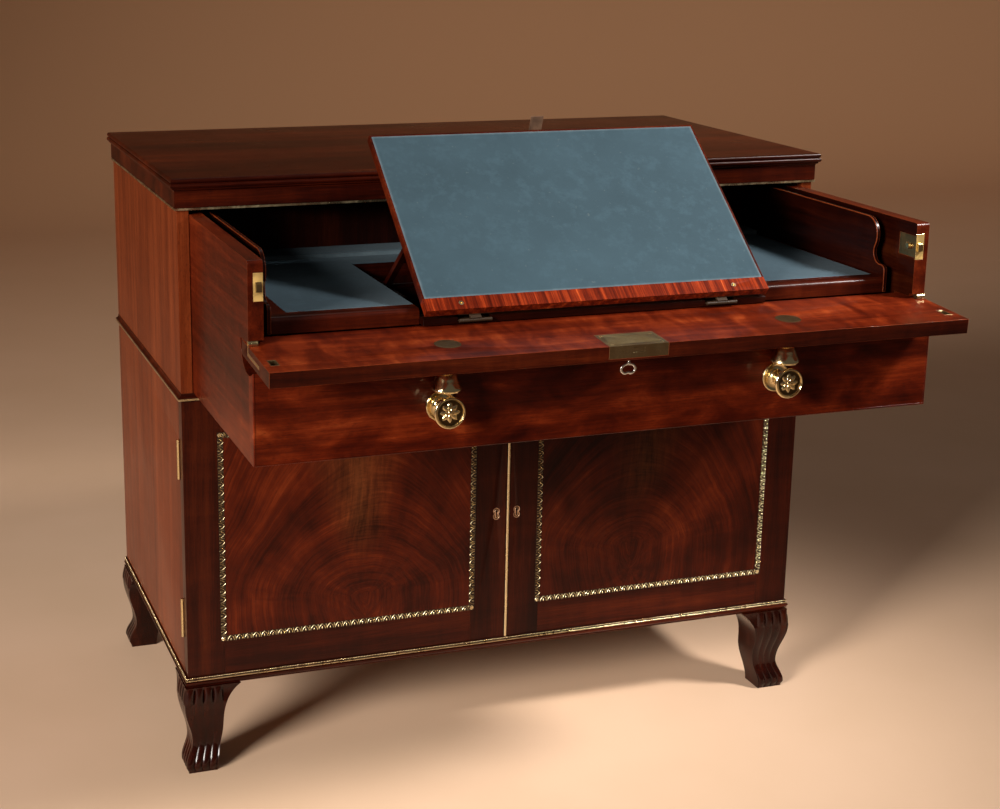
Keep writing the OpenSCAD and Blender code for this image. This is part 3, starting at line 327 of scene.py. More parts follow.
def patina_material(name, color, rough, grain_scale):
    """Brass gone brown all over, with no shine of metal left; on the hinges under the slope it is painted
    shade.
    """
    n = Nodes(name)
    spots = n.noise(n.object_place(), scale=grain_scale, detail=3)
    base = n.ramp(spots, [(0.3, scaled(color, 0.8)), (0.7, scaled(color, 1.12))])
    return n.finish(Base_Color=base, Roughness=rough, Specular_IOR_Level=0.2)


def slope_y(y):
    """A place along the slope, measured from its hinge, in the coordinates that its materials use."""
    return (Matrix.Rotation(-SLOPE_ANGLE, 4, "X") @ SLOPE_PIN).y + y


board_low, board_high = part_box("writing_board")
lining_low, lining_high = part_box("writing_lining")

top_wood = wood("mahogany_top", "X", seed=1.0, figure=0.15, rough=0.30, shade=0.54, polish=0.06)
side_wood = wood("mahogany_side", "Z", seed=2.0, figure=0.12, colors=PALE_MAHOGANY, shade=0.92, stripe=42.0,
                 contrast=1.6, polish=0.08)
rail_wood = wood("mahogany_rail", "X", seed=3.0, figure=0.25, shade=0.50)
stile_wood = wood("mahogany_stile", "Z", seed=4.0, figure=0.25, shade=0.36)
front_wood = wood("mahogany_front", "X", seed=5.0, figure=0.9, shade=0.72, colors=RIBBON, contrast=1.5,
                  mottle=(12, 22, 22))
fall_wood = wood("mahogany_fall", "X", turn=FALL_OPEN, seed=6.0, figure=0.9, shade=0.9, colors=RIBBON,
                 contrast=1.35, mottle=(30, 11, 11))
# The fall's edge faces take a darker wood than its broad faces: painted shade.
fall_edge_painted_shade = wood("mahogany_fall_edge_painted_shade", "X", turn=FALL_OPEN, seed=18.0, figure=0.3, shade=0.42)
drawer_wood = wood("mahogany_drawer_side", "Y", seed=7.0, figure=0.2, shade=0.85)
# The drawer sides' inner faces and the tray's cheeks are darkened: painted shade inside the drawer.
inner_side_painted_shade = wood("mahogany_inner_side_painted_shade", "Y", seed=19.0, figure=0.2, shade=0.15)
cheek_wood_painted_shade = wood("mahogany_cheek_painted_shade", "Y", seed=17.0, figure=0.2, shade=0.18)
board_wood = wood("mahogany_board", "X", seed=8.0, figure=0.3, shade=0.55)
band_wood = wood("mahogany_crossband_y", "Y", seed=9.0, figure=0.2, shade=0.6)
band_wood_x = wood("mahogany_crossband_x", "X", seed=10.0, figure=0.2, shade=0.6)
slope_wood = wood("mahogany_slope", "X", turn=SLOPE_ANGLE, seed=11.0, figure=0.3, shade=0.8)
slope_band = wood("mahogany_slope_band", "Y", turn=SLOPE_ANGLE, seed=12.0, figure=0.1, shade=1.6,
                  colors=RIBBON, stripe=105.0, contrast=2.7, coarse=0.6)
foot_wood = wood("mahogany_foot", "Z", seed=13.0, figure=0.2, shade=0.25, polish=0.4, rough=0.26)
# Lighter woods laid on the softened arrises: painted highlights along the edges.
edge_wood_painted_highlight = wood("mahogany_edge_painted_highlight", "X", seed=16.0, figure=0.2, shade=1.0, colors=PALE_MAHOGANY)
arris_wood_painted_highlight = wood("mahogany_arris_painted_highlight", "X", seed=21.0, figure=0.2, shade=2.0, colors=PALE_MAHOGANY, polish=0.3)
# Darkened wood for the inside of the case and the drawer: painted shade.
inner_x_painted_shade = wood("mahogany_inner_x_painted_shade", "X", seed=14.0, figure=0.1, polish=0.0, rough=0.5, shade=0.22)
inner_z_painted_shade = wood("mahogany_inner_z_painted_shade", "Z", seed=15.0, figure=0.1, polish=0.0, rough=0.5, shade=0.22)
# Darkened wood for the middle of the tray's rail: painted shade under the slope.
painted_shade_wood = wood("mahogany_painted_shade", "X", seed=20.0, figure=0.2, shade=0.16, polish=0.05)
oak_x = wood("oak_x", "X", seed=14.0, figure=0.1, polish=0.05, rough=0.5, colors=OAK)
oak_z = wood("oak_z", "Z", seed=15.0, figure=0.1, polish=0.05, rough=0.5, colors=OAK)
panel_left = flame("mahogany_flame_left", (-PANEL_X, FRONT, PANEL_Z), (0.030, -0.118), -0.12, 3.0, 0.85)
# The right panel is set darker than the left: painted shade, for the door that the lamp lights less.
panel_right = flame("mahogany_flame_right", (PANEL_X, FRONT, PANEL_Z), (-0.035, -0.090), 0.10, 8.0, 0.62)
brass = brass_material("polished_brass")
knob_brass = brass_material("knob_brass", color=(0.84, 0.68, 0.38), rough=0.1, tarnish=0.25)
catch_brass = brass_material("catch_brass", color=(0.95, 0.68, 0.26), rough=0.48, tarnish=0.15)
rose_brass = brass_material("rose_brass", color=(0.66, 0.43, 0.30), rough=0.34, tarnish=0.4)
line_brass = brass_material("line_brass", color=(0.80, 0.66, 0.40), rough=0.26, tarnish=0.15)
old_brass = brass_material("worn_brass", color=(0.42, 0.32, 0.16), rough=0.34, tarnish=0.7)
dull_brass = brass_material("dull_brass", color=(0.16, 0.105, 0.05), rough=0.42, tarnish=0.6)
dish_brass = brass_material("dish_brass", color=(0.10, 0.062, 0.028), rough=0.3, tarnish=0.5)
# A dark brown brass: its real colour in the border's ground, and painted shade on the hinges under the slope.
patina_and_shade = patina_material("brass_patina_and_painted_shade", (0.030, 0.016, 0.008), 0.5, 500)
steel = brass_material("key_steel", color=(0.72, 0.70, 0.66), rough=0.2, tarnish=0.35)
lining = lining_material("blue_lining", edges=[(0, lining_low[0]), (0, lining_high[0]), (1, lining_low[1]),
                                               (1, board_high[1] - LEDGE_Y)])
slope_cloth = lining_material("blue_slope_lining", turn=SLOPE_ANGLE, color=(0.031, 0.057, 0.074),
                              edges=[(0, -SLOPE_CLOTH_X), (0, SLOPE_CLOTH_X),
                                     (1, slope_y(SLOPE_BAND + 0.0001)), (1, slope_y(SLOPE_CLOTH_TOP))])
hide = leather_material("tab_leather")


# Making pieces.
def piece(name, bm, body, materials, replaces=(), angle=35):
    mesh = bpy.data.meshes.new(name)
    bmesh.ops.recalc_face_normals(bm, faces=bm.faces)
    bm.to_mesh(mesh)
    bm.free()
    obj = bpy.data.objects.new(name, mesh)
    bpy.context.scene.collection.objects.link(obj)
    for material in materials:
        mesh.materials.append(material)
    mesh.shade_smooth()
    mesh.set_sharp_from_angle(angle=math.radians(angle))
    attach(obj, body)
    for node in replaces:
        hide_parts(node)
    return obj


def solid(node):
    """A copy of a CAD solid's mesh, with its flat faces whole again."""
    bm = bmesh.new()
    bm.from_mesh(frame["nodes"][node].data)
    bmesh.ops.remove_doubles(bm, verts=bm.verts, dist=SAME)
    bmesh.ops.dissolve_limit(bm, angle_limit=math.radians(0.5), verts=bm.verts, edges=bm.edges)
    return bm


def soft_edged(node, body, materials, width=0.0008, choose=None, edge=None, suffix="_board",
               round_over=None, cuts=()):
    """The CAD board with its arrises softened, as planed and polished wood has them.

    choose gives a face its material, edge is the material of the arrises, on wood a lighter one as a painted
    highlight, round_over rounds some edges more, and cuts are planes that part faces where two materials
    meet.
    """
    bm = solid(node)
    for place, normal in cuts:
        bmesh.ops.bisect_plane(bm, geom=[*bm.verts, *bm.edges, *bm.faces], dist=SAME, plane_co=place,
                               plane_no=normal)
    if choose:
        for face in bm.faces:
            face.material_index = choose(face)
    if round_over:
        test, radius = round_over
        edges = [e for e in bm.edges if all(test(v.co) for v in e.verts)]
        bmesh.ops.bevel(bm, geom=edges, offset=radius, segments=6, affect="EDGES", profile=0.5)
    obj = piece(node + suffix, bm, body, materials + ([edge] if edge else []), [node])
    bevel = obj.modifiers.new("soft_edges", "BEVEL")
    bevel.width = width
    bevel.segments = 2
    bevel.limit_method = "ANGLE"
    bevel.angle_limit = math.radians(40)
    bevel.harden_normals = True
    if edge:
        bevel.material = len(materials)


def dress(node, material):
    """Gives a CAD node that is shown as it is its material."""
    obj = frame["nodes"][node]
    obj.data.materials.clear()
    obj.data.materials.append(material)


def circle(steps, start=0.0):
    """The angles of a full turn, in equal steps."""
    return [start + 2 * math.pi * i / steps for i in range(steps)]


def lathe(bm, profile, matrix, steps=64):
    """Turns a profile of (radius, height) points about the matrix's Z axis."""
    rings = []
    for r, h in profile:
        turn = circle(steps) if r > 1e-7 else [0.0]
        rings.append([bm.verts.new(matrix @ Vector((r * math.cos(a), r * math.sin(a), h))) for a in turn])
    for low, high in zip(rings, rings[1:]):
        for i in range(steps):
            j = (i + 1) % steps
            if len(low) > 1 and len(high) > 1:
                bm.faces.new((low[i], low[j], high[j], high[i]))
            elif len(high) > 1:
                bm.faces.new((low[0], high[j], high[i]))
            elif len(low) > 1:
                bm.faces.new((low[i], low[j], high[0]))


def loft(bm, rings, caps=True):
    """Joins closed rings of points into a skin."""
    rows = [[bm.verts.new(p) for p in ring] for ring in rings]
    count = len(rows[0])
    for low, high in zip(rows, rows[1:]):
        for i in range(count):
            j = (i + 1) % count
            bm.faces.new((low[i], low[j], high[j], high[i]))
    if caps:
        bm.faces.new(list(reversed(rows[0])))
        bm.faces.new(rows[-1])


def sheet(bm, rows):
    """Joins open rows of vertices into a strip of faces."""
    for low, high in zip(rows, rows[1:]):
        for i in range(len(low) - 1):
            bm.faces.new((low[i], low[i + 1], high[i + 1], high[i]))


def arc(cx, cy, r, start, stop, steps):
    """Points of an arc about (cx, cy), from one angle to another in degrees."""
    return [(cx + r * math.cos(a), cy + r * math.sin(a))
            for a in (math.radians(start + (stop - start) * i / steps) for i in range(steps + 1))]


def box_mesh(bm, low, high, matrix, bevel):
    """A box with softened edges."""
    made = bmesh.ops.create_cube(bm, size=1.0)["verts"]
    size = [h - l for l, h in zip(low, high)]
    centre = [(h + l) / 2 for l, h in zip(low, high)]
    place = matrix @ Matrix.Translation(centre) @ Matrix.Diagonal((*size, 1))
    bmesh.ops.transform(bm, matrix=place, verts=made)
    edges = list(dict.fromkeys(e for v in made for e in v.link_edges))
    bmesh.ops.bevel(bm, geom=edges, offset=bevel, segments=2, affect="EDGES")


def screw(bm, matrix, radius, turn):
    """A slotted screw head: two half discs with a slot between them, on a floor; its face is at Z = 0."""
    slot, foot, floor, crown = 0.00035, -0.0008, -0.0006, 0.00022
    spun = matrix @ Matrix.Rotation(turn, 4, "Z")
    start = math.asin(slot / radius)
    for half in (0, math.pi):
        ring = [(radius * math.cos(a), radius * math.sin(a))
                for a in (half + start + (math.pi - 2 * start) * i / 14 for i in range(15))]
        inner = [(x * 0.9, max(abs(y) * 0.9, slot) * (1 if y > 0 else -1)) for x, y in ring]
        loft(bm, [[spun @ Vector((x, y, z)) for x, y in line]
                  for line, z in ((ring, foot), (ring, 0.0), (inner, crown))])
    wide = radius * 0.98
    lathe(bm, [(0, foot - 0.0001), (wide, foot - 0.0001), (wide, floor), (0, floor)], matrix, 20)


# Feet.
KNEE_OUT, ANKLE_IN, TOE_OUT, ANKLE_W, BRACKET_W = 0.008, 0.0055, 0.0065, 0.061, 0.084
FOOT_PARTS = 14                                  # the foot's height in the parts that its line is drawn in


def swing(a, b, t):
    """A smooth passage from a to b, level at both ends."""
    return a + (b - a) * (1 - math.cos(math.pi * t)) / 2


def foot_out(t):
    """How far a foot stands out of the case; t goes from the floor to the case."""
    toe, ankle, knee = 1.0, 4.6, 11.2
    s = FOOT_PARTS * t
    if s < toe:
        return swing(TOE_OUT - 0.004, TOE_OUT, s)
    if s < ankle:
        return swing(TOE_OUT, -ANKLE_IN, (s - toe) / (ankle - toe))
    if s < knee:
        return swing(-ANKLE_IN, KNEE_OUT, (s - ankle) / (knee - ankle))
    return swing(KNEE_OUT, KNEE_OUT - 0.003, (s - knee) / (FOOT_PARTS - knee))


def foot_in(t):
    """How far it reaches in from the case's face: an ankle below, and a bracket that spreads above."""
    w = ANKLE_W - ANKLE_IN
    if t < 0.5:
        return swing(w - 0.012, w, t / 0.5)
    return w + (BRACKET_W - w) * (max(0, t - 0.55) / 0.45) ** 3.2


def foot_ring(t, reeds=4, steps=8):
    """One level of a foot: reeded on its two outer faces, plain on the inner ones."""
    out, inner = foot_out(t), foot_in(t)
    toe = math.exp(-((t - 0.10) / 0.11) ** 2)
    lobe = max(0.0, 1 - ((t - 0.90) / 0.085) ** 2) ** 0.5
    depth = (0.0013 + 0.0015 * toe + 0.0016 * lobe) * min(1, t / 0.03)
    reeded = foot_in(min(t, 0.5)) + out - 0.0015
    face = []
    count = reeds * steps
    for i in range(1, count + 1):
        s = i / count
        groove = abs(math.sin(math.pi * s * reeds)) ** 0.6
        face.append((-out + reeded * s, -out + depth * (1 - groove) - 0.0022 * lobe * groove))
    front = face + [(inner, -out + depth * 0.5)]
    side = [(y, x) for x, y in reversed(front)]
    corner = (-out + depth * 0.45, -out + depth * 0.45)
    return [(x, y, t * FOOT_H) for x, y in side + [corner] + front + [(inner, inner)]]


def foot(name, side, back, levels=84):
    """One foot: side is -1 or 1, and a back foot faces the other way."""
    bm = bmesh.new()
    loft(bm, [[(side * (HALF_W - x), BACK - y if back else FRONT + y, z) for x, y, z in foot_ring(i / levels)]
              for i in range(levels + 1)])
    bmesh.ops.remove_doubles(bm, verts=bm.verts, dist=5 * SAME)
    piece(name + "_reeded", bm, "case", [foot_wood], [name], angle=50)


foot("foot_front_left", -1, False)
foot("foot_front_right", 1, False)
foot("foot_back_left", -1, True)
foot("foot_back_right", 1, True)


# Knobs.
def knob(bm, matrix):
    """A turned brass knob with a ringed face and a small rosette; Z = 0 is the board's face."""
    r, top = KNOB_R, KNOB_OUT
    neck, rim = 0.0165, KNOB_OUT - 0.0042
    # the moulded rose on the board, and the neck that rises from it to a ring
    profile = [(0, 0), (r * 0.95, 0), (r * 0.97, 0.0006), (r * 0.97, 0.0014)]
    profile += arc(r * 0.97 - 0.0016, 0.0030, 0.0018, -40, 90, 6)
    profile += [(r * 0.84, 0.0046), (r * 0.80, 0.0037), (r * 0.72, 0.0035)]
    profile += arc(r * 0.70, 0.0116, 0.0080, 268, 190, 8)
    profile += [(r * 0.36, neck - 0.0014), (r * 0.47, neck - 0.0008), (r * 0.49, neck),
                (r * 0.47, neck + 0.0008)]
    # the bell-shaped head, with a raised ring low on it
    for i in range(12):
        t = i / 11
        ring = 0.006 if i in (3, 4) else 0
        profile.append((r * (0.50 + 0.49 * t ** 0.75 - 0.05 * math.sin(math.pi * t) + ring),
                        neck + 0.0018 + (rim - neck - 0.0018) * t ** 1.15))
    # the rim, and the rings round the dished face
    profile += arc(r - 0.0012, rim + 0.0014, 0.0013, -30, 60, 5)
    profile += [(r * at, top - drop) for at, drop in (
        (0.955, 0.0010), (0.94, 0.0002), (0.91, 0), (0.87, 0.0001), (0.845, 0.0007), (0.83, 0.0015),
        (0.81, 0.0012), (0.795, 0.0019))]
    lathe(bm, profile, matrix, 72)
    before = set(bm.faces)
    dish = ((0.795, 0.0019), (0.77, 0.0036), (0.4, 0.0033), (0, 0.0031))
    lathe(bm, [(r * at, top - drop) for at, drop in dish], matrix, 72)
    for face in set(bm.faces) - before:
        face.material_index = 1
    rosette(bm, matrix @ Matrix.Translation((0, 0, top - 0.0035)), r * 0.64)


def petal(bm, matrix, length, lift, turn, steps=8, across=4):
    """A rounded petal with a fine crease along its middle."""
    rows = []
    for i in range(steps + 1):
        s = i / steps
        x = length * (0.16 + 0.84 * s)
        half = length * 0.27 * math.sin(math.pi * min(1, 0.12 + 0.80 * s)) ** 0.8
        if i == steps:
            half *= 0.35
        swell = 0.35 + 0.65 * math.sin(math.pi * min(1, 0.15 + s * 0.85))
        row = []
        for j in range(-across, across + 1):
            w = j / across
            y = half * w
            height = lift * (1 - w * w) * swell - 0.0004 * math.exp(-(w * 5) ** 2)
            row.append(bm.verts.new(matrix @ Vector((x * math.cos(turn) - y * math.sin(turn),
                                                     x * math.sin(turn) + y * math.cos(turn), height))))
        rows.append(row)
    sheet(bm, rows)


def rosette(bm, matrix, radius, petals=8):
    """Two rings of petals round a boss, the plain ornament of such knobs."""
    for size, lift, start in ((1.0, 0.0020, 0.0), (0.60, 0.0029, math.pi / petals)):
        for turn in circle(petals, start):
            petal(bm, matrix, radius * size, lift, turn)
    boss = radius * 0.24
    dome = [(x, 0.0016 + z * 0.5) for x, z in arc(0, 0, boss, 0, 90, 6)]
    lathe(bm, [(boss, 0)] + dome, matrix, 24)


def shank(bm, matrix, depth, plate):
    """The knob's bolt and its plate on the far side of a board."""
    lathe(bm, [(0.004, 0.001), (0.004, -depth)], matrix, 24)
    lathe(bm, [(plate, -depth + 0.0014), (plate, -depth + 0.0002), (plate - 0.0004, -depth),
               (plate * 0.5, -depth), (plate * 0.36, -depth), (0.0042, -depth), (0.0030, -depth - 0.00025),
               (0, -depth - 0.0004)], matrix, 48)


def knobs():
    """Two knobs on the drawer's front and two on the fall, which show their plates when it lies open."""
    low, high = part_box("drawer_knobs")
    drawer_face, drawer_depth, fall_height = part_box("drawer_front")[0][1], 0.023, 0.051
    facing = Matrix.Rotation(RIGHT_ANGLE, 4, "X")
    drawer, fall, discs = bmesh.new(), bmesh.new(), bmesh.new()
    for x in (-KNOB_X, KNOB_X):
        place = Matrix.Translation((x, drawer_face, (low[2] + high[2]) / 2)) @ facing
        knob(drawer, place)
        shank(drawer, place, drawer_depth, 0.009)
        place = FALL @ Matrix.Translation((x, FALL_OUT, fall_height)) @ facing
        knob(fall, place)
        shank(discs, place, FALL_T, 0.0184)
    metals = [knob_brass, dish_brass]
    piece("drawer_knobs_turned", drawer, "drawer", metals, ["drawer_knobs"], angle=40)
    piece("fall_knobs_turned", fall, "fall", metals, ["fall_knobs"], angle=40)
    piece("fall_knob_discs", discs, "fall", [dull_brass], angle=40)


knobs()


# Brass lines and reeds.
def round_path(out):
    """Corners of a line that runs round the front and both sides of the case."""
    return [Vector((-HALF_W - out, BACK, 0)), Vector((-HALF_W - out, FRONT - out, 0)),
            Vector((HALF_W + out, FRONT - out, 0)), Vector((HALF_W + out, BACK, 0))]


def run_round(bm, section, material=0):
    """A section of (out, z) points drawn round the front and sides of the case, with mitred corners."""
    turns = [Vector((-1, 0)), Vector((-1, -1)), Vector((1, -1)), Vector((1, 0))]
    before = set(bm.faces)
    loft(bm, [[corner + Vector((turn.x * out, turn.y * out, z)) for out, z in section]
              for corner, turn in zip(round_path(0), turns)])
    for face in set(bm.faces) - before:
        face.material_index = material


def bead(bm, centre, r, along):
    """A round bead, a little longer along the string."""
    up, across, tip = Vector((0, 0, 1)), along.cross(Vector((0, 0, 1))), along * (r * 1.05)
    rows = [[bm.verts.new(centre + tip * math.cos(a) + up * (r * math.sin(a) * math.cos(b))
                          + across * (r * math.sin(a) * math.sin(b))) for b in circle(8)]
            for a in (math.pi * i / 5 for i in range(1, 5))]
    ends = [bm.verts.new(centre + tip), bm.verts.new(centre - tip)]
    sheet(bm, [row + row[:1] for row in rows])
    for k in range(8):
        j = (k + 1) % 8
        bm.faces.new((ends[0], rows[0][j], rows[0][k]))
        bm.faces.new((ends[1], rows[-1][k], rows[-1][j]))


def beaded_reeds():
    """A fine string of beads over a plain reed, with a dark line between them."""
    low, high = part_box("base_reeds")
    out = high[0] - HALF_W
    r, bead_r, step, under = 0.00125, 0.00095, 0.0027, 0.0001
    bead_z, reed_z, ground = high[2] - 0.0012, high[2] - 0.0053, out - 0.0018
    bm = bmesh.new()
    run_round(bm, [(under, low[2]), (ground, low[2]), (ground, high[2]), (under, high[2])], 1)
    run_round(bm, [(0.001, reed_z - r)] + arc(out - r, reed_z, r, -90, 90, 10) + [(0.001, reed_z + r)])
    path = round_path(out - bead_r)
    for a, b in zip(path, path[1:]):
        count = int((b - a).length / step)
        for i in range(count):
            bead(bm, a.lerp(b, (i + 0.5) / count) + Vector((0, 0, bead_z)), bead_r, (b - a).normalized())
    piece("base_reeds_beaded", bm, "case", [line_brass, stile_wood], ["base_reeds"], angle=60)


beaded_reeds()


# Door borders.
BORDER_W, BORDER_PITCH = 0.0092, 0.0137          # width of the border, and of one arch
# The ground of the border: distance in from its outer edge, and height above the door.
BORDER_GROUND = [(0.0, 0.0), (0.0, 0.0006), (0.0002, 0.0008), (0.0004, 0.0006), (0.0006, 0.0003),
                 (0.0090, 0.0003), (0.0091, 0.0)]


class Edge:
    """One side of a border: u runs along it, v runs in from its outer edge, h rises off the door."""

    def __init__(self, start, along, front):
        self.start, self.along, self.front = start, along, front
        self.inner = Vector((-along.y, along.x))

    def at(self, u, v, h):
        spot = self.start + self.along * u + self.inner * v
        return Vector((spot.x, self.front - h, spot.y))

    def ridge(self, bm, points, halves, heights):
        """A rounded ridge along a run of (u, v) points, with its half width and height at each."""
        floor, rows = 0.0002, []
        for i, (u, v) in enumerate(points):
            a, b = points[max(0, i - 1)], points[min(len(points) - 1, i + 1)]
            du, dv = b[0] - a[0], b[1] - a[1]
            size = math.hypot(du, dv)
            across, rise = (-dv / size * halves[i], du / size * halves[i]), heights[i]
            rows.append([bm.verts.new(self.at(u + across[0] * s, v + across[1] * s, floor + rise * lift))
                         for s, lift in ((-1, 0), (-0.7, 0.72), (0, 1), (0.7, 0.72), (1, 0))])
        sheet(bm, rows)

    def arch(self, bm, u, step):
        """An arch of two curved legs at u, with a drop in it and a dart beside it."""
        half, low_v, rise = step / 2, 0.0004, 0.0084
        for side in (-1, 1):
            leg = [(u + side * half * 0.80 * (1 - (i / 9) ** 1.9), low_v + rise * (i / 9) ** 0.92)
                   for i in range(10)]
            self.ridge(bm, leg, [0.0006] * 10, [0.0014] * 10)
        drop = [(u, low_v + 0.0040 * i / 6) for i in range(7)]
        self.ridge(bm, drop, [0.0007, 0.0009, 0.0009, 0.0008, 0.0006, 0.0004, 0.0003],
                   [0.0010, 0.0014, 0.0014, 0.0012, 0.0010, 0.0007, 0.0004])
        dart = [(u + half, 0.0030 + 0.0056 * i / 6) for i in range(7)]
        self.ridge(bm, dart, [0.0002, 0.0004, 0.0005, 0.0006, 0.0006, 0.0005, 0.0003],
                   [0.0003, 0.0006, 0.0009, 0.0011, 0.0012, 0.0010, 0.0006])

    def leaf(self, bm):
        """Three blades of a leaf laid on the mitre where this side starts."""
        for spread, length in ((-0.375, 0.78), (0.0, 1.0), (0.375, 0.78)):
            a = math.pi / 4 + spread
            steps = [i / 7 for i in range(8)]
            reach = [0.0030 + (BORDER_W * 1.06 - 0.0030) * s * length for s in steps]
            self.ridge(bm, [(r * math.cos(a), r * math.sin(a)) for r in reach],
                       [0.0004 + 0.0011 * math.sin(math.pi * min(1, 0.12 + 0.86 * s)) for s in steps],
                       [0.0004 + 0.0007 * math.sin(math.pi * min(1, 0.2 + 0.7 * s)) for s in steps])


def door_border(door):
    """A cast brass border: a plain fillet outside, then a row of arches, with a leaf at each corner."""
    node = door + "_border"
    low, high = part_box(node)
    front = high[1]
    x0, x1, z0, z1 = low[0], high[0], low[2], high[2]
    corners = [(x0, z0), (x1, z0), (x1, z1), (x0, z1)]
    inward = [(1, 1), (-1, 1), (-1, -1), (1, -1)]
    bm = bmesh.new()
    rows = [[bm.verts.new((cx + ix * d, front - h, cz + iz * d)) for d, h in BORDER_GROUND]
            for (cx, cz), (ix, iz) in zip(corners, inward)]
    sheet(bm, [row + row[:1] for row in rows + rows[:1]])
    for face in bm.faces:
        face.material_index = 1
    for start, stop in zip(corners, corners[1:] + corners[:1]):
        start, stop = Vector(start), Vector(stop)
        edge = Edge(start, (stop - start).normalized(), front)
        length = (stop - start).length - 2 * BORDER_W
        count = round(length / BORDER_PITCH)
        for i in range(count):
            edge.arch(bm, BORDER_W + length / count * (i + 0.5), length / count)
        edge.leaf(bm)
    piece(node + "_cast", bm, door, [line_brass, patina_and_shade], [node], angle=50)


door_border("door_left")
door_border("door_right")


def escutcheon(door):
    """A figure-of-eight keyhole plate with a raised rim round its edge and round the keyhole."""
    node = door + "_escutcheon"
    bm = solid(node)
    bmesh.ops.triangulate(bm, faces=[f for f in bm.faces if f.normal.y < -0.99])
    face = [f for f in bm.faces if f.normal.y < -0.99]
    bmesh.ops.inset_region(bm, faces=face, thickness=0.0009, depth=0)
    bmesh.ops.inset_region(bm, faces=face, thickness=0.0002, depth=-0.0005)
    for f in face:
        f.material_index = 1
    piece(node + "_plate", bm, door, [rose_brass, dull_brass], [node], angle=40)


escutcheon("door_left")
escutcheon("door_right")


# Which of a board's materials a face takes.
def stile_faces(face):
    """A door's stiles have upright grain, its rails level grain."""
    x = abs(face.calc_center_median().x)
    low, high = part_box("door_right_frame")
    return 1 if x < low[0] + STILE_W or x > high[0] - STILE_W else 0


def inner_faces(face):
    """The faces of a drawer side that look into the drawer, which take a darker wood as painted shade."""
    return 1 if face.normal.x * face.calc_center_median().x < -0.1 else 0


def tray_rail_faces(face):
    """The middle of the rail lies in the slope's shade, painted into it as a darker wood."""
    return 1 if abs(face.calc_center_median().x) < SLOPE_HALF else 0


def board_faces(face):
    """Crossbanding at the ends and along the front, and cloth on the front of the raised ledge."""
    c = face.calc_center_median()
    if c.z > board_low[2] + 0.0235 and abs(c.y - board_high[1] + LEDGE_Y) < 0.0005:
        return 3
    if c.x < board_low[0] + BAND_X + 0.0002 or c.x > board_high[0] - RIGHT_BAND_X - 0.0002:
        return 1
    return 2 if c.y < board_low[1] + BAND_Y + 0.0005 else 0


def fall_faces(face):
    """The fall's broad faces, and its edges, which take a darker wood as painted shade."""
    return 0 if abs((FALL.to_3x3().inverted() @ face.normal).y) > 0.9 else 1


def slope_faces(face):
    """The crossbanded strip at the slope's lower edge."""
    c = SLOPE.inverted() @ face.calc_center_median()
    return 1 if c.y < SLOPE_BAND + 0.0002 and c.z > 0.01 else 0


def hinge_plate_faces(face):
    """The slope's hinge plates are near the middle and brown, as painted shade under the slope; the fall's
    are at the ends.
    """
    return 1 if abs(face.calc_center_median().x) < 0.3 else 0


def lock_faces(face):
    """The end of the lock is duller than its plate."""
    return 1 if (FALL.to_3x3().inverted() @ face.normal).z > 0.9 else 0


def catch_faces(face):
    """The plates on the drawer's front ends are bright, the inner ones dull."""
    return 0 if face.calc_center_median().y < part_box("catch_plates")[0][1] + 0.0016 else 1


def front_top(point):
    """The end of a drawer side's top edge, at the front."""
    low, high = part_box("drawer_side_left")
    return abs(point.y - low[1]) < 1e-4 and abs(point.z - high[2]) < 1e-4


# Boards and fittings that keep their CAD form, with softened edges or as they are.
for node in ("door_left_frame", "door_right_frame"):
    soft_edged(node, node.removesuffix("_frame"), [rail_wood, stile_wood], 0.0006, stile_faces)
for node in ("case_side_left", "case_side_right"):
    soft_edged(node, "case", [side_wood], 0.0005)
soft_edged("top_board", "case", [top_wood], 0.0006, edge=edge_wood_painted_highlight)
soft_edged("drawer_front", "drawer", [front_wood], edge=edge_wood_painted_highlight)
for node in ("drawer_side_left", "drawer_side_right"):
    soft_edged(node, "drawer", [drawer_wood, inner_side_painted_shade], choose=inner_faces, edge=edge_wood_painted_highlight,
               round_over=(front_top, 0.005))
soft_edged("tray_cheeks", "drawer", [cheek_wood_painted_shade], 0.0011, edge=edge_wood_painted_highlight)
soft_edged("tray_rail", "drawer", [board_wood, painted_shade_wood], 0.0006, tray_rail_faces)
soft_edged("writing_board", "drawer", [board_wood, band_wood_x, band_wood, lining], 0.0004, board_faces,
           cuts=[((board_low[0] + BAND_X, 0, 0), (1, 0, 0)),
                 ((board_high[0] - RIGHT_BAND_X, 0, 0), (1, 0, 0)),
                 ((0, board_low[1] + BAND_Y, 0), (0, 1, 0))])
soft_edged("fall_board", "fall", [fall_wood, fall_edge_painted_shade], choose=fall_faces, edge=arris_wood_painted_highlight)
soft_edged("slope_board", "slope", [slope_wood, slope_band], 0.0006, slope_faces, edge=edge_wood_painted_highlight,
           cuts=[(SLOPE @ Vector((0, SLOPE_BAND, 0)), SLOPE.to_3x3() @ Vector((0, 1, 0)))])
soft_edged("drawer_hinge_plates", "drawer", [old_brass, patina_and_shade], 0.0002, hinge_plate_faces,
           suffix="_soft")
soft_edged("fall_lock", "fall", [old_brass, dull_brass], 0.0004, lock_faces, edge=brass,
           suffix="_plate")
soft_edged("catch_keeps", "fall", [dull_brass], 0.0003, edge=old_brass, suffix="_frames")
soft_edged("catch_plates", "drawer", [catch_brass, old_brass], 0.0003, catch_faces, edge=brass,
           suffix="_soft")

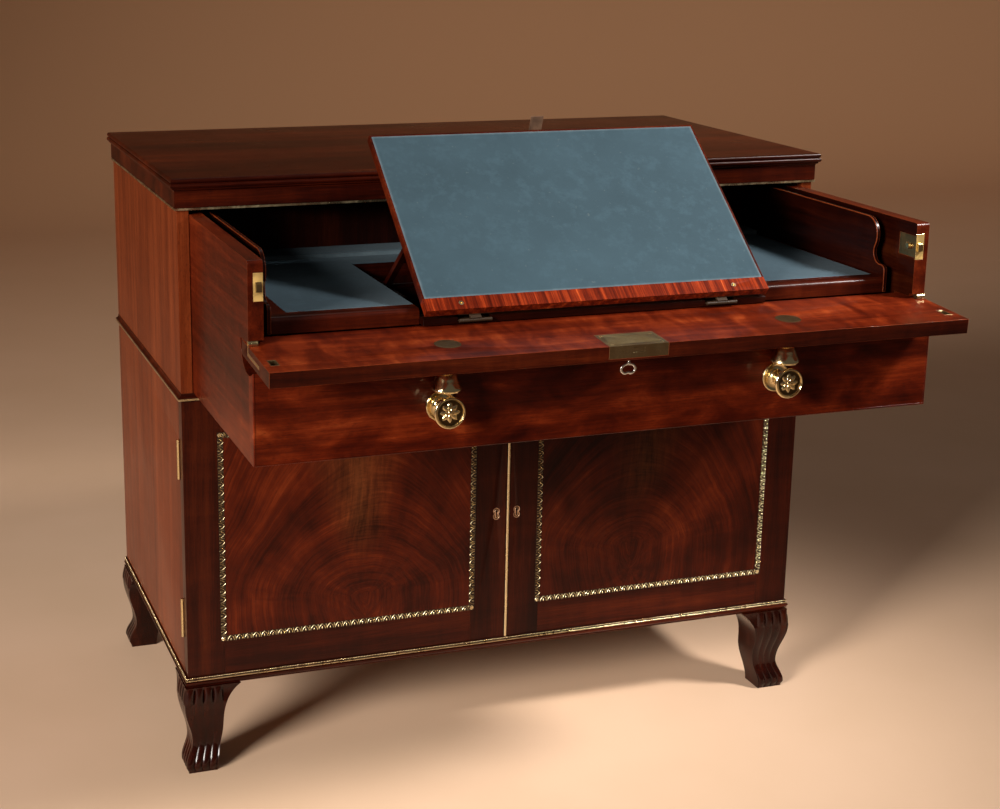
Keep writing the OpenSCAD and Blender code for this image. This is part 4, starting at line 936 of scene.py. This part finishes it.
for material, nodes in (
        (panel_left, ("door_left_panel",)),
        (panel_right, ("door_right_panel",)),
        (rail_wood, ("frieze", "band_moulding", "base_moulding")),
        (board_wood, ("slope_strut", "ratchet_rails")),
        # The well, the drawer's back and bottom, the dust board and the guides take darkened wood as painted
        # shade.
        (inner_z_painted_shade, ("well_walls", "drawer_back")),
        (inner_x_painted_shade, ("drawer_bottom", "dust_board", "drawer_guides")),
        (oak_z, ("case_back",)),
        (oak_x, ("case_floor", "shelf")),
        (brass, ("lock_keep", "case_hinges", "door_left_hinges", "door_right_hinges", "door_lock_bolt",
                 "catch_bolt_right", "fall_hinges")),
        (line_brass, ("brass_lines", "slope_sockets", "meeting_strip")),
        (dull_brass, ("fall_lock_bolt", "catch_bolt_left")),
        # The slope's hinges take the dark brown brass: painted shade under the slope.
        (patina_and_shade, ("slope_hinges",)),
        (lining, ("writing_lining",)),
        (slope_cloth, ("slope_lining",)),
        (hide, ("slope_tab",))):
    for node in nodes:
        dress(node, material)


# Lock screws and the key.
def lock_screws():
    bm = bmesh.new()
    corners = [(x, z) for z in (0.069, 0.106) for x in (-0.043, 0.031)]
    for k, (x, z) in enumerate(corners):
        matrix = FALL @ Matrix.Translation((x, FALL_IN + 0.0001, z)) @ Matrix.Rotation(-RIGHT_ANGLE, 4, "X")
        screw(bm, matrix, 0.0029, turn=0.5 + 1.1 * k)
    piece("lock_screws", bm, "fall", [brass])


def key():
    """A steel key: a collared stem, a bit in the lock, and a kidney-shaped bow with a cusp at its far end."""
    place = FALL @ Matrix.Translation((-0.006, FALL_OUT, 0.085)) @ Matrix.Rotation(RIGHT_ANGLE, 4, "X")
    bm = bmesh.new()
    lathe(bm, [(0, -0.0162), (0.0024, -0.0160), (0.0025, 0.0035), (0.0034, 0.0040), (0.0037, 0.0050),
               (0.0034, 0.0060), (0.0024, 0.0066), (0.0021, 0.0100), (0.0024, 0.0122), (0.0030, 0.0130),
               (0.0028, 0.0140), (0, 0.0146)], place, 32)
    box_mesh(bm, (-0.0012, 0, -0.0158), (0.0012, 0.0076, -0.0118), place, bevel=0.0003)
    bow_x, bow_z, bow_foot, wide, deep = 0.0100, 0.0073, 0.0150, 0.0019, 0.0014
    middle = []
    for t in circle(64):
        dent = 0.0021 * math.exp(-((t - math.pi) / 0.30) ** 2)
        middle.append(Vector((bow_x * math.sin(t) * (1 + 0.08 * math.sin(t / 2) ** 2),
                              bow_foot + bow_z * (1 - math.cos(t)) - dent)))
    rings = []
    for i, spot in enumerate(middle):
        ahead = (middle[(i + 1) % 64] - middle[i - 1]).normalized()
        rings.append([place @ Vector((spot.x - ahead.y * wide * math.cos(a), deep * math.sin(a),
                                      spot.y + ahead.x * wide * math.cos(a))) for a in circle(12)])
    loft(bm, rings + rings[:1], caps=False)
    bmesh.ops.remove_doubles(bm, verts=bm.verts, dist=SAME)
    piece("fall_key_steel", bm, JOINTS["key_turn"]["child"], [steel], ["fall_key"], angle=50)


lock_screws()
key()


# Stage, light and camera.
def stage():
    """A plain floor that curves up into a wall behind the cabinet, warmer with distance."""
    reach, wall_y, rise, radius = 40.0, 7.0, 9.0, 2.2
    line = [(-reach, 0.0)] + arc(wall_y - radius, radius, radius, -90, 0, 16) + [(wall_y, rise)]
    bm = bmesh.new()
    sheet(bm, [[bm.verts.new((x, y, z)) for x in (-reach, reach)] for y, z in line])
    mesh = bpy.data.meshes.new("studio_floor")
    bm.to_mesh(mesh)
    bm.free()
    mesh.shade_smooth()
    obj = bpy.data.objects.new("studio_floor", mesh)
    bpy.context.scene.collection.objects.link(obj)
    n = Nodes("floor_paper")
    spot = n.object_place()
    base = n.ramp(n.noise(spot, scale=3), [(0.3, (0.66, 0.445, 0.295)), (0.7, (0.70, 0.475, 0.325))])
    distance = n.math("DIVIDE", n.add("SeparateXYZ", Vector=spot).outputs["Y"], wall_y)
    base = n.mix(n.ramp(distance, [(0.15, grey(0)), (0.8, grey(1))]), base, (0.95, 0.52, 0.28, 1))
    mesh.materials.append(n.finish(Base_Color=base, Roughness=0.8))


def lamp(name, place, target, size, power, color, spread=180):
    """A soft rectangular lamp that looks at its target."""
    light = bpy.data.lights.new(name, "AREA")
    light.shape = "RECTANGLE"
    light.size, light.size_y = size
    light.energy = power
    light.color = color
    light.spread = math.radians(spread)
    obj = bpy.data.objects.new(name, light)
    bpy.context.scene.collection.objects.link(obj)
    obj.location = place
    obj.visible_camera = False
    obj.rotation_euler = (Vector(target) - Vector(place)).to_track_quat("-Z", "Y").to_euler()


def studio():
    lamp("left", (-5.0, -3.2, 2.5), (-0.1, 0.1, 0.45), (1.9, 1.7), 84, (1.0, 0.95, 0.88), spread=66)
    lamp("right", (2.2, -1.5, 2.9), (0.42, -0.32, 0.80), (0.6, 0.6), 9, (1.0, 0.96, 0.91), spread=36)
    lamp("top", (0.3, 1.6, 3.6), (0, 0.2, 0.7), (2.4, 1.4), 7, (1.0, 0.95, 0.9))
    world = bpy.data.worlds.new("studio")
    bpy.context.scene.world = world
    world.use_nodes = True
    background = world.node_tree.nodes["Background"]
    background.inputs["Color"].default_value = (1.0, 0.90, 0.80, 1)
    background.inputs["Strength"].default_value = 0.08


def camera():
    """The photograph's camera, solved from the cabinet's edges: focal length and centre are in pixels."""
    focal, centre_u, centre_v, width, height, film = 1746.8, 425.5, 355.8, 1000.0, 809.0, 36.0
    place = Vector((-1.0287, FRONT - 2.5224, 1.3431))
    yaw, pitch, roll = (math.radians(a) for a in (-19.33, -14.33, 0.61))
    data = bpy.data.cameras.new("camera")
    data.sensor_fit = "HORIZONTAL"
    data.sensor_width = film
    data.lens = focal / width * film
    data.shift_x = (width / 2 - centre_u) / width
    data.shift_y = -(height / 2 - centre_v) / width
    data.clip_end = 60
    ahead = Vector((-math.sin(yaw) * math.cos(pitch), math.cos(yaw) * math.cos(pitch), math.sin(pitch)))
    level = ahead.cross(Vector((0, 0, 1))).normalized()
    up = level.cross(ahead)
    right = level * math.cos(roll) + up * math.sin(roll)
    above = up * math.cos(roll) - level * math.sin(roll)
    obj = bpy.data.objects.new("camera", data)
    bpy.context.scene.collection.objects.link(obj)
    obj.matrix_world = Matrix.Translation(place) @ Matrix((right, above, -ahead)).transposed().to_4x4()
    bpy.context.scene.camera = obj


stage()
studio()
camera()
bpy.context.scene.view_settings.view_transform = "Standard"

# Nothing is left selected.
for obj in bpy.context.scene.objects:
    obj.select_set(False)
